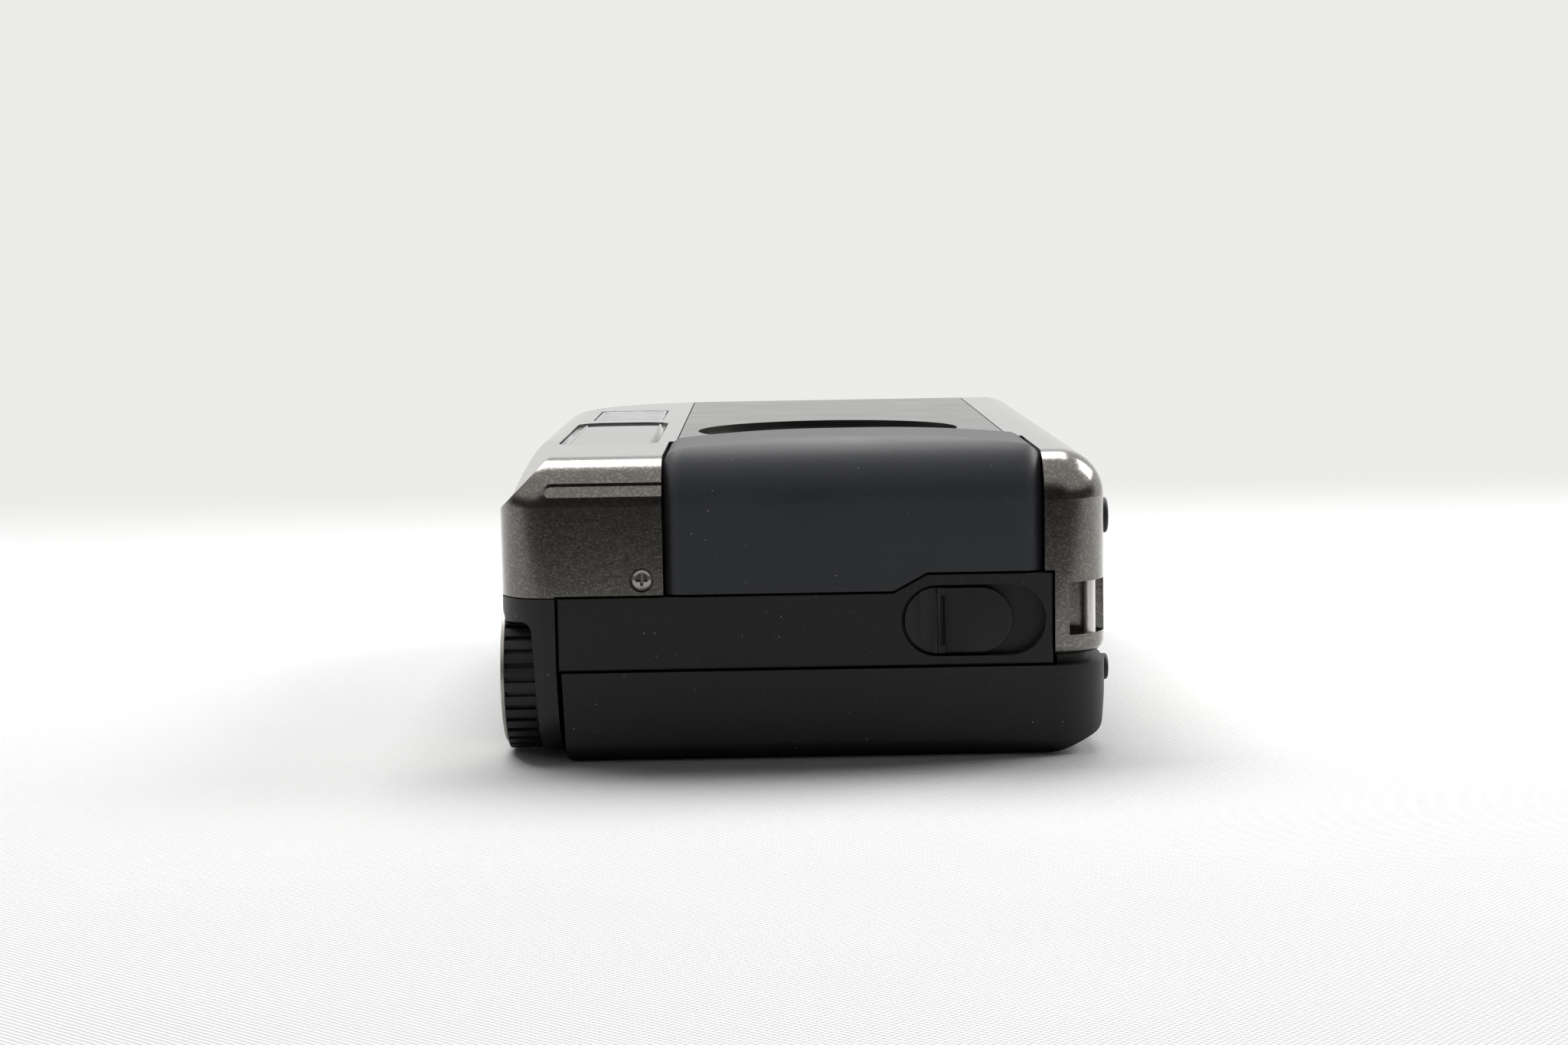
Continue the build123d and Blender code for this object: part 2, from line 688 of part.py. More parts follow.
def make_film_window():
    pane = block(grow(film_window_x, -0.1), grow(film_window_y, -0.1), (0.4, door_plate))
    rim = block(grow(film_window_x, 1.2), grow(film_window_y, 1.2), (door_plate, door_plate + 0.4))
    return pane + rim


# Gear train from the motor to the take-up spool
gear_module = 0.3
gear_play = 0.08
gear_width = 1.1
pinion_teeth = 10
wheel_teeth = 36
small_teeth = 12
spool_teeth = 34
rewind_teeth = 40
gear_pin_r = 0.8
motor_shaft_r = 0.7
gear_b_x = (chamber_x[0] - chamber_wall - 0.3 - gear_width, chamber_x[0] - chamber_wall - 0.3)
gear_a_x = (gear_b_x[0] - 0.2 - gear_width, gear_b_x[0] - 0.2)
gear_distance = gear_module * (pinion_teeth + wheel_teeth) / 2
gear_direction = 30.0
wheel_y = spool_y + gear_distance * cos(radians(gear_direction))
wheel_z = spool_z + gear_distance * sin(radians(gear_direction))
gear_plate_x = (gear_a_x[0] - 1.1, gear_a_x[0] - 0.2)

spool_r = 6.8
spool_wall = 1.2
spool_hub_r = 3.4
motor_r = 5.2
motor_length = 24.0
fork_r = 3.0
fork_reach = 2.8
sprocket_r = 2.3
sprocket_x = (lens_x + 14.9, lens_x + 16.1)
sprocket_y = lens_y - gate_length / 2 - 0.9
sprocket_z = film_z + sprocket_r - 0.1
sprocket_teeth = 8
sprocket_axle_r = 0.8

spool_block_y = (chassis_near_y, spool_y + spool_chamber_r + chamber_wall)
spool_block_top = spool_z + spool_chamber_r + chamber_wall
cassette_block_y = (cassette_y - cassette_chamber_r - chamber_wall,
                    cassette_y + cassette_chamber_r + chamber_wall)
cassette_block_top = cassette_z + cassette_chamber_r + chamber_wall
chassis_x = grow(chamber_x, chamber_wall)
gate_top = film_z + gate_plate
flange_top = gate_top + 1.4
flange_hole_r = 15.5
battery_back_x = battery_end_x - battery_length - 0.8
battery_block_x = (battery_back_x - chamber_wall, bottom_x - wall - 1.2)
barrel_x = (hinge_x[0] + knuckle_length + knuckle_gap, hinge_x[1] - knuckle_length - knuckle_gap)

# Moving rear lens group on two guide posts of the chassis
guide_offset = 13.3
guide_rod_r = 0.7
rear_group_r = 11.0
rear_glass_r = 7.0
rear_group_z = (gate_top + 0.3, gate_top + 2.6)
guide_top = rear_group_z[1] + rear_group_travel + 0.3

# Leaf blades of the lens cover and of the shutter
cover_hole_r = 5.2
cover_pivot = 10.0
shutter_hole_r = 4.0
shutter_pivot = 9.0
blade_lap = 0.6
blade_pin_r = 0.5
cap_thickness = 1.1
blade_thickness = 0.4
inner_back_z = inner_front_z - inner_barrel_length
blade_z = (inner_front_z - cap_thickness - 0.2 - blade_thickness, inner_front_z - cap_thickness - 0.2)
blade_ring_z = (blade_z[0] - 1.0, blade_z[0] - 0.2)
shutter_z = (inner_back_z + 3.0, inner_back_z + 7.0)
shutter_gap_z = (shutter_z[0] + 1.5, shutter_z[1] - 1.4)
front_cell_z = (shutter_z[1] + 1.5, shutter_z[1] + 7.0)
front_glass_r = 8.0
main_board_x = (gear_a_x[0] + 0.3, gear_a_x[0] + 1.3)
main_board_y = (sprocket_y + 4.5, cassette_block_y[1] - 1.0)
main_board_z = (film_z + 3.0, 24.0)
top_board_x = (top_x + 4.9, top_x + 5.7)
top_board_y = (shutter_button_y - 3.5, finder_y[0] - 0.5)
button_board_x = (top_x + 2.6, top_x + 3.2)


# A spur gear along X: short straight-sided teeth with play between them
def gear(teeth, x, centre, phase):
    pitch_r = gear_module * teeth / 2
    root_r = pitch_r - 1.1 * gear_module
    tip_r = pitch_r + 0.7 * gear_module
    half = pi / (2 * teeth) - gear_play / pitch_r
    points = []
    for tooth in range(teeth):
        middle = radians(phase) + 2 * pi * tooth / teeth
        for radius, spread in ((root_r, -1.4), (tip_r, -0.5), (tip_r, 0.5), (root_r, 1.4)):
            angle = middle + spread * half
            points.append((centre[0] + radius * cos(angle), centre[1] + radius * sin(angle)))
    return prism_x(polygon(points), x)


spool_centre = (spool_y, spool_z)
wheel_centre = (wheel_y, wheel_z)
facing = gear_direction + 180.0


# Each gear on the wheel axis turns a gap to the tooth that faces it
def make_gear_train():
    pinion = gear(pinion_teeth, gear_a_x, spool_centre, gear_direction)
    shaft_x = (gear_plate_x[0], chamber_x[1] - motor_length)
    pinion += rod_x(shaft_x, spool_y, spool_z, motor_shaft_r)
    wheel = gear(wheel_teeth, gear_a_x, wheel_centre, facing + 180.0 / wheel_teeth)
    wheel += gear(small_teeth, (gear_b_x[0], gear_a_x[1] + 0.2 + gear_width), wheel_centre,
                  facing + 180.0 / small_teeth)
    wheel += rod_x((gear_a_x[1], gear_b_x[0]), wheel_y, wheel_z, gear_pin_r + 0.6)
    wheel -= rod_x(whole_x, wheel_y, wheel_z, gear_pin_r + running_gap)
    spool_x = (chamber_x[0] + 0.3, chamber_x[1] - 0.6)
    spool = rod_x(spool_x, spool_y, spool_z, spool_r)
    spool -= rod_x((spool_x[0] + 2.0, spool_x[1] + 1), spool_y, spool_z, spool_r - spool_wall)
    spool += rod_x((gear_b_x[1], spool_x[0]), spool_y, spool_z, spool_hub_r)
    spool += gear(spool_teeth, gear_b_x, spool_centre, gear_direction)
    spool -= rod_x(whole_x, spool_y, spool_z, motor_shaft_r + 2 * running_gap)
    spool -= block((lens_x - 3, lens_x + 3), (spool_y - 0.7, spool_y + 0.7), (0, spool_z - motor_r))
    plate = block(gear_plate_x, (spool_y - 4.0, wheel_y + 4.0), (spool_z - 5.0, wheel_z + 4.0))
    plate -= rod_x(gear_plate_x, spool_y, spool_z, motor_shaft_r + running_gap)
    plate += rod_x((gear_plate_x[1], chassis_x[0] + 0.5), spool_y - 3.0, wheel_z + 2.7, 0.8)
    plate += rod_x((gear_plate_x[0], chassis_x[0] + 0.5), wheel_y, wheel_z, gear_pin_r)
    return {"motor_pinion": pinion, "reduction_gear": wheel, "take_up_spool": spool, "gear_plate": plate}


def make_motor():
    motor = rod_x((chamber_x[1] - motor_length, chamber_x[1]), spool_y, spool_z, motor_r)
    motor -= rod_x(whole_x, spool_y, spool_z, motor_shaft_r + 2 * running_gap)
    return chamfer(motor.edges().group_by(Axis.X)[0].sort_by(SortBy.LENGTH)[-1], 0.5)


def make_rewind_fork():
    fork = gear(rewind_teeth, gear_b_x, (cassette_y, cassette_z), 0.0)
    fork += rod_x((gear_b_x[1], chamber_x[0] + 0.4), cassette_y, cassette_z, fork_r)
    blade = block((chamber_x[0], chamber_x[0] + fork_reach), grow((cassette_y,) * 2, fork_r - 0.2),
                  grow((cassette_z,) * 2, 0.6))
    return fork + blade


def make_sprocket():
    wheel = rod_x(sprocket_x, sprocket_y, sprocket_z, sprocket_r - 0.5)
    for tooth in range(sprocket_teeth):
        turn = Pos(0, sprocket_y, sprocket_z) * Rot(360 * tooth / sprocket_teeth, 0, 0)
        wheel += turn * block(sprocket_x, (-0.3, 0.3), (0, sprocket_r))
    return wheel + rod_x(grow(sprocket_x, 1.9), sprocket_y, sprocket_z, sprocket_axle_r)


# Light-tight inner frame with the film gate, both film chambers and the battery chamber
def make_chassis(gear_plate):
    plate_y_span = (spool_block_y[0], cassette_block_y[1])
    frame = block(chassis_x, plate_y_span, (film_z, gate_top))
    frame += block(chassis_x, spool_block_y, (film_z, spool_block_top))
    frame += block(chassis_x, cassette_block_y, (film_z, cassette_block_top))
    frame += block(grow((lens_x, lens_x), tube_r + tube_wall), (spool_block_y[1], cassette_block_y[0]),
                   (gate_top, flange_top))
    battery_tube_r = battery_r + battery_gap + chamber_wall
    frame += block(battery_block_x, (cassette_block_y[1] - 0.2, battery_y + battery_tube_r),
                   grow((battery_z, battery_z), battery_tube_r))
    frame += rod_x(barrel_x, hinge_y, hinge_z, knuckle_r)
    frame += block(barrel_x, (battery_y, hinge_y), (hinge_z + 0.2, hinge_z + knuckle_r))
    frame -= rod_x(chamber_x, spool_y, spool_z, spool_chamber_r)
    frame -= block(chamber_x, grow((spool_y, spool_y), spool_chamber_r), (0, spool_z))
    frame -= rod_x(chamber_x, cassette_y, cassette_z, cassette_chamber_r)
    frame -= block(chamber_x, grow((cassette_y, cassette_y), cassette_chamber_r), (0, cassette_z))
    frame -= block(grow((lens_x, lens_x), gate_height / 2), grow((lens_y, lens_y), gate_length / 2),
                   (film_z - 1, gate_top + 0.1))
    frame -= lens_rod((gate_top, flange_top + 1), flange_hole_r)
    frame -= rod_x((battery_back_x, bottom_x), battery_y, battery_z, battery_r + battery_gap)
    frame -= rod_x(whole_x, hinge_y, hinge_z, pin_r + running_gap)
    for span in knuckle_spans():
        frame -= rod_x(grow(span, knuckle_gap), hinge_y, hinge_z, door_knuckle_r + knuckle_gap)
    frame -= rod_x((chassis_x[0] - 1, chamber_x[0]), spool_y, spool_z, spool_hub_r + running_gap)
    frame -= rod_x((chassis_x[0] - 1, chamber_x[0]), cassette_y, cassette_z, fork_r + running_gap)
    frame -= block(grow(sprocket_x, 0.3), grow((sprocket_y, sprocket_y), sprocket_r + 0.3),
                   (0, sprocket_z + sprocket_r + 0.3))
    frame -= rod_x(grow(sprocket_x, 2.0), sprocket_y, sprocket_z, sprocket_axle_r + running_gap)
    for side in (-1, 1):
        frame += rod_z(lens_x + side * guide_offset, lens_y, (film_z + 0.6, guide_top), guide_rod_r)
    board_post_x = (main_board_x[1], chassis_x[0] + 0.1)
    board_post_r = 1.1
    for y in (lens_y - 12.0, cassette_y + 8.0):
        frame += rod_x(board_post_x, y, film_z + board_post_r, board_post_r)
        frame += block(board_post_x, grow((y, y), board_post_r), (film_z + board_post_r, film_z + 4.0))
    return frame - gear_plate


# A glass element with two bulging faces
def lens_glass(z, radius, bulge):
    sphere_r = (radius ** 2 + bulge ** 2) / (2 * bulge)
    low = Pos(lens_x, lens_y, z[0] + sphere_r) * Sphere(sphere_r)
    high = Pos(lens_x, lens_y, z[1] - sphere_r) * Sphere(sphere_r)
    return lens_rod(z, radius) & low & high


def make_rear_group():
    ring = lens_rod(rear_group_z, rear_group_r)
    for side in (-1, 1):
        guide_x = lens_x + side * guide_offset
        ring += rod_z(guide_x, lens_y, rear_group_z, guide_rod_r + 0.9)
        ring += block(sorted((lens_x, guide_x)), (lens_y - 1.2, lens_y + 1.2), rear_group_z)
        ring -= rod_z(guide_x, lens_y, (0, front_z), guide_rod_r + running_gap)
    glass = lens_glass(rear_group_z, rear_glass_r, 0.9)
    return ring - lens_rod((0, front_z), rear_glass_r), glass


# One half of a two-leaf cover that swings away from the axis about its pin
def leaf_blade(side, hole_r, pivot, z):
    leaf = lens_rod(z, hole_r + blade_lap)
    half_x = sorted((lens_x + side * 0.08, lens_x + side * 2 * hole_r))
    leaf &= block(half_x, grow((lens_y, lens_y), 2 * hole_r), z)
    arm_x = (lens_x + side * 0.08, lens_x + side * 1.4)
    arm = block(sorted(arm_x), (lens_y - pivot, lens_y), z)
    eye_x = lens_x + side * 1.4
    return leaf + arm + rod_z(eye_x, lens_y - pivot, z, 1.25)


def blade_pins(pivot, z):
    pins = [rod_z(lens_x + side * 1.4, lens_y - pivot, z, blade_pin_r) for side in (-1, 1)]
    return pins[0] + pins[1]


def make_lens():
    nodes = {}
    tube = lens_ring((flange_top, front_z - 2.2), tube_r + tube_wall, tube_r)
    nodes["lens_mount_tube"] = tube
    outer = lens_ring((outer_front_z - barrel_length, outer_front_z), outer_barrel_r,
                      outer_barrel_r - outer_barrel_wall)
    nodes["outer_barrel"] = chamfer(outer.edges().group_by(Axis.Z)[-1], 0.3)
    inner = lens_rod((inner_back_z, inner_front_z), inner_barrel_r)
    inner = fillet(inner.edges().group_by(Axis.Z)[-1], 0.4)
    inner -= lens_rod((inner_back_z, inner_front_z - cap_thickness), cell_r)
    inner -= lens_rod((0, front_z), cover_hole_r)
    mouth = Pos(lens_x, lens_y, inner_front_z - 0.4) * Cone(cover_hole_r, cover_hole_r + 1.6, 0.8)
    nodes["inner_barrel"] = inner - mouth
    ring = lens_ring(blade_ring_z, cell_r, cover_hole_r + 0.4)
    ring += blade_pins(cover_pivot, (blade_ring_z[1], inner_front_z - cap_thickness))
    nodes["lens_cover_ring"] = ring
    swing_room = blade_pin_r + running_gap
    for name, side in (("lens_cover_blade_left", -1), ("lens_cover_blade_right", 1)):
        blade = leaf_blade(side, cover_hole_r, cover_pivot, blade_z)
        nodes[name] = blade - rod_z(lens_x + side * 1.4, lens_y - cover_pivot, blade_z, swing_room)
    nodes["front_lens_cell"] = lens_ring(front_cell_z, cell_r, front_glass_r)
    nodes["front_lens"] = lens_glass(front_cell_z, front_glass_r, 1.6)
    housing = lens_ring(shutter_z, cell_r, shutter_hole_r)
    housing -= lens_rod(shutter_gap_z, cell_r - 1.0)
    nodes["shutter_housing"] = housing + blade_pins(shutter_pivot, shutter_gap_z)
    middle = (shutter_gap_z[0] + shutter_gap_z[1]) / 2
    leaf = 0.3
    for name, side in (("shutter_blade_left", -1), ("shutter_blade_right", 1)):
        blade = leaf_blade(side, shutter_hole_r, shutter_pivot, (middle - leaf / 2, middle + leaf / 2))
        nodes[name] = blade - rod_z(lens_x + side * 1.4, lens_y - shutter_pivot, (0, front_z), swing_room)
    nodes["rear_lens_cell"], nodes["rear_lens"] = make_rear_group()
    return nodes


# Buttons and rocker on the top plate
stem_r = 1.0


def make_top_controls():
    nodes = {}
    cap = rod_x((top_x, top_x + 3.2), shutter_button_y, shutter_button_z, shutter_button_r)
    cap = fillet(cap.edges().group_by(Axis.X)[0], 0.5) & outer_form
    stem_x = (top_x + 3.2, top_board_x[0] - shutter_travel - 0.2)
    nodes["shutter_button"] = cap + rod_x(stem_x, shutter_button_y, shutter_button_z, stem_r)
    rocker_z = grow((top_control_z, top_control_z), rocker_width / 2)
    rocker = block((top_x, top_x + rocker_thickness), rocker_y, rocker_z)
    rocker = fillet(rocker.edges().filter_by(Axis.X), 1.2)
    rocker = chamfer(rocker.faces().sort_by(Axis.X)[0].edges(), 0.3)
    nodes["zoom_rocker"] = rocker + rocker_pin(0.0)
    for name, y in (("flash_button", flash_button_y), ("timer_button", timer_button_y)):
        button_x = (top_x, button_board_x[0] - small_button_travel - 0.2)
        button = rod_x(button_x, y, top_control_z, small_button_r)
        nodes[name] = fillet(button.edges().group_by(Axis.X)[0], 0.3)
    pane_x = (top_x, top_x + display_pane)
    nodes["display_window"] = block(pane_x, grow(display_y, -0.1), grow(display_z, -0.1))
    nodes["display_panel"] = block((pane_x[1], pane_x[1] + display_panel),
                                   grow(display_y, -1.1), grow(display_z, -1.1))
    board_z = grow((top_control_z, top_control_z), rocker_width / 2 + 1.1)
    button_board_y = grow(finder_y, -0.5)
    board = block(top_board_x, top_board_y, board_z)
    board += block(button_board_x, button_board_y, grow(board_z, -0.6))
    bridge_z = grow((top_control_z, top_control_z), 2.0)
    board += block((button_board_x[0], top_board_x[1]), (top_board_y[1] - 0.5, top_board_y[1]), bridge_z)
    board += block(button_board_x, (top_board_y[1] - 0.5, button_board_y[0]), bridge_z)
    nodes["top_circuit_board"] = board
    return nodes


# Pin that carries the rocker in the cover's wall
def rocker_pin(gap):
    middle = (rocker_y[0] + rocker_y[1]) / 2
    reach = rocker_width / 2 + control_gap + 0.7
    return rod_z(top_x + 0.9, middle, grow((top_control_z, top_control_z), reach + gap), 0.4 + gap)


# Short posts from the top wall that carry the board under the shutter button
def board_posts():
    x = (top_x + wall - 0.2, top_board_x[0])
    posts = []
    for y in (top_board_y[0] + 1.2, top_board_y[1] - 1.2):
        posts.append(rod_x(x, y, top_control_z + 5.4, 0.9))
    return posts[0] + posts[1]


def make_front_windows():
    nodes = {}
    pane_z = (front_z - window_thickness, front_z - 0.1)
    pane = rounded_panel(grow(window_x, -0.1), grow(window_y, -0.1), pane_z, window_corner_r - 0.1)
    nodes["window_panel"] = chamfer(pane.edges().group_by(Axis.Z)[-1], 0.2)
    finder = block(finder_x, finder_y, finder_z)
    low_x = (eyepiece_x[0] - seam, eyepiece_x[1] + seam)
    finder += block(low_x, finder_y, (rear_cover_back_z + eyepiece_depth, finder_z[0] + 5.0))
    finder += block((button_board_x[1], finder_x[0] + 0.5), grow(finder_y, -2.5),
                    grow((top_control_z, top_control_z), 1.5))
    glass_x, glass_y = grow(finder_x, -1.0), grow(finder_y, -1.0)
    glass_back_z = finder_z[1] - 2.0
    nodes["viewfinder"] = finder - block(glass_x, glass_y, (glass_back_z, finder_z[1] + 1))
    nodes["viewfinder_lens"] = block(glass_x, glass_y, (glass_back_z, glass_back_z + 1.4))
    focus_x = (window_x[0] + 2.0, window_x[1] - 2.0)
    focus_y = (window_y[0] + 2.0, finder_y[0] - 2.0)
    focus = block(focus_x, focus_y, (front_z - 7.5, pane_z[0] - 0.1))
    middle_x = (focus_x[0] + focus_x[1]) / 2
    eye_r = 1.8
    eye_room_r = eye_r + 0.6
    eye_floor_z = pane_z[0] - 1.6
    for y in (focus_y[0] + 2 * eye_r, focus_y[1] - 2 * eye_r):
        focus -= rod_z(middle_x, y, (eye_floor_z, front_z), eye_room_r)
        focus += rod_z(middle_x, y, (eye_floor_z - 0.1, eye_floor_z + 1.0), eye_r)
    nodes["autofocus_module"] = focus
    flash_z = (front_z - flash_lens_thickness, front_z)
    nodes["flash_window"] = rounded_panel(grow(flash_x, -0.1), grow(flash_y, -0.1), flash_z,
                                          flash_corner_r - 0.1)
    reflector_z = (cassette_block_top + 0.3, flash_z[0])
    reflector = block(flash_x, flash_y, reflector_z)
    trough_r = 4.6
    middle_x = (flash_x[0] + flash_x[1]) / 2
    inside_y = grow(flash_y, -1.0)
    reflector -= rod_y(middle_x, inside_y, reflector_z[0] + 0.6 + trough_r, trough_r)
    tube_z = reflector_z[0] + 0.7 + 1.0
    lamp = rod_y(middle_x, flash_y, tube_z, 0.9)
    nodes["flash_reflector"] = reflector - lamp
    nodes["flash_lamp"] = lamp
    return nodes


# Battery with its door, contacts and the flash capacitor
capacitor_r = 4.5
capacitor_length = 33.0
battery_pivot = (bottom_x - 1.2, battery_door_y[0] + 1.2)


def make_power():
    nodes = {}
    battery_x = (battery_end_x - battery_length, battery_end_x)
    cell = rod_x((battery_x[0], battery_x[1] - 0.9), battery_y, battery_z, battery_r)
    cell = fillet(cell.edges(), 0.6)
    nodes["battery"] = cell + rod_x((battery_x[1] - 1.5, battery_x[1]), battery_y, battery_z, 3.0)
    inner_contact = block((battery_back_x, battery_x[0]), (battery_y - 4, battery_y + 4),
                          (battery_z - 3, battery_z + 3))
    inner_contact -= block((battery_back_x + 0.3, battery_x[0] - 0.3), (battery_y - 3.5, battery_y + 5),
                           (battery_z - 4, battery_z + 4))
    nodes["battery_back_contact"] = inner_contact
    contact_x = (battery_x[1] + 0.2, bottom_x - wall)
    door_contact = block(contact_x, (battery_y - 3, battery_y + 3), (battery_z - 2.5, battery_z + 2.5))
    door_contact -= block((contact_x[0] + 0.4, contact_x[1] - 0.4), (battery_y - 2.5, battery_y + 4),
                          (battery_z - 3, battery_z + 3))
    nodes["battery_door_contact"] = door_contact
    pivot_x, pivot_y = battery_pivot
    door_z = grow(battery_door_z, -seam)
    door = (outer_form - inner_form) & block((pivot_x - 1, bottom_x + 1),
                                             (pivot_y, battery_door_y[1] - seam), door_z)
    door += rod_z(pivot_x, pivot_y, door_z, battery_knuckle_r)
    nodes["battery_door"] = door + battery_hinge_pin(0.0)
    capacitor_x = (lens_x - capacitor_length / 2, lens_x + capacitor_length / 2)
    nodes["flash_capacitor"] = fillet(
        rod_x(capacitor_x, spool_y, spool_block_top + 0.1 + capacitor_r, capacitor_r).edges(), 0.5)
    nodes["main_circuit_board"] = block(main_board_x, main_board_y, main_board_z)
    return nodes


# Round ends on which the battery door turns in the cover
def battery_hinge_pin(gap):
    return rod_z(*battery_pivot, grow(battery_door_z, 1.2 + gap), battery_pin_r + gap)


def make_tripod_bush():
    bush = rod_x((bottom_x - tripod_depth, bottom_x), tripod_y, tripod_z, tripod_bush_r)
    flange_x = (bottom_x - wall - 1.2, bottom_x - wall)
    bush += rod_x(flange_x, tripod_y, tripod_z, tripod_bush_r + 1.2)
    bush = chamfer(bush.edges().group_by(Axis.X)[-1], 0.3)
    return bush - rod_x((bottom_x - tripod_depth + 1.0, bottom_x + 1), tripod_y, tripod_z, tripod_hole_r)


def make_screws():
    screws = [place * screw() for place in screw_places]
    group = screws[0]
    for one in screws[1:]:
        group += one
    return group


# Every separate piece under its own name
def make_pieces():
    pieces = {}
    cover, lug_pin = make_front_cover()
    cover += board_posts() & outer_form
    cover -= rocker_pin(running_gap)
    cover -= battery_hinge_pin(running_gap)
    for y in (foot_y, far_foot_y):
        cover -= rod_x((bottom_x - 0.4, bottom_x + 1), y, body_foot_z, foot_radius)
    pieces["front_cover"] = cover
    pieces["strap_lug_pin"] = lug_pin
    pieces["front_panel"] = make_front_panel()
    pieces["grip_cover"] = make_grip(0) - make_grip(wall) & block(
        grow(grip_x, -0.1), (near_y - 1, grip_far_y - 0.1), (rear_seam_z + 0.1, grip_z + 1))
    pieces["grip_cover"] -= prism_y(strip_outline(-seam), (near_y - 1, near_y + side_thickness + seam))
    pieces["rear_top_cover"] = make_rear_top_cover()
    pieces["side_cover"] = make_side_cover()
    pieces["latch_slider"] = make_latch_slider()
    pieces["mode_dial"] = make_mode_dial()
    pieces["mode_dial_cap"] = make_dial_cap()
    pieces["eyepiece"] = make_eyepiece()
    pieces["back_door"] = make_back_door()
    pieces["door_feet"] = make_feet(door_foot_z, door_foot_radius)
    pieces["body_feet"] = make_feet(body_foot_z, foot_radius)
    pieces["pressure_plate"] = make_pressure_plate()
    pieces["pressure_spring"] = make_pressure_spring()
    pieces["film_window"] = make_film_window()
    pieces["hinge_pin"] = rod_x(hinge_x, hinge_y, hinge_z, pin_r)
    gear_train = make_gear_train()
    pieces["chassis"] = make_chassis(gear_train["gear_plate"])
    pieces["film_motor"] = make_motor()
    pieces["rewind_fork"] = make_rewind_fork()
    pieces["film_sprocket"] = make_sprocket()
    pieces["tripod_bush"] = make_tripod_bush()
    pieces["cover_screws"] = make_screws()
    pieces.update(gear_train)
    pieces.update(make_lens())
    pieces.update(make_top_controls())
    pieces.update(make_front_windows())
    pieces.update(make_power())
    return pieces


os.makedirs("parts", exist_ok=True)
for name, piece in make_pieces().items():
    export_step(piece, f"parts/{name}.step")
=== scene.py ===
import math
import bpy
from mathutils import Matrix, Vector


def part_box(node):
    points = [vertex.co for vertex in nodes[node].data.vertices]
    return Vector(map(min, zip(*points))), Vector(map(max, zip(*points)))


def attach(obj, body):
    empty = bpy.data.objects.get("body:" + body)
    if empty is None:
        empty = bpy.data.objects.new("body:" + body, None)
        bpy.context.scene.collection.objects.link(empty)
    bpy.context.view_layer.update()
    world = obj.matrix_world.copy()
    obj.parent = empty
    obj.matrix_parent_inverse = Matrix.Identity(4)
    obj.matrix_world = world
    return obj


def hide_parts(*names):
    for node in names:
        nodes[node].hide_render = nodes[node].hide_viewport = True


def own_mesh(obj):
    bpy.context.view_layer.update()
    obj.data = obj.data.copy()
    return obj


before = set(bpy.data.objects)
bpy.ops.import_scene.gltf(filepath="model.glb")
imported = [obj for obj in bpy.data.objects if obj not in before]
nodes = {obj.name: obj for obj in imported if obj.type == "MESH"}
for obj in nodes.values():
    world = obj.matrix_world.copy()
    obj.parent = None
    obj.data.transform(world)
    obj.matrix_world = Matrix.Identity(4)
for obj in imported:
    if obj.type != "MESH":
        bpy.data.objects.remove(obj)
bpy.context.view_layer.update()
mm = 0.001
scene = bpy.context.scene
print("frame loaded,", len(nodes), "nodes")


# A value or colour on its way through a material; arithmetic on it adds Math nodes
class Wire:
    def __init__(self, finish, socket):
        self.finish = finish
        self.socket = socket

    def sum(self, operation, first, second):
        return self.finish.add("Math", {"operation": operation}, {0: first, 1: second})

    def __add__(self, other):
        return self.sum("ADD", self, other)

    def __radd__(self, other):
        return self.sum("ADD", other, self)

    def __sub__(self, other):
        return self.sum("SUBTRACT", self, other)

    def __rsub__(self, other):
        return self.sum("SUBTRACT", other, self)

    def __mul__(self, other):
        return self.sum("MULTIPLY", self, other)

    def __rmul__(self, other):
        return self.sum("MULTIPLY", other, self)

    def __lt__(self, other):
        return self.sum("LESS_THAN", self, other)

    def ramp(self, low, high, shape="LINEAR"):  # 0 at low, 1 at high
        settings = {"clamp": True, "interpolation_type": shape}
        return self.finish.add("MapRange", settings, {"Value": self, "From Min": low, "From Max": high})

    def smooth(self, low, high):
        return self.ramp(low, high, "SMOOTHSTEP")


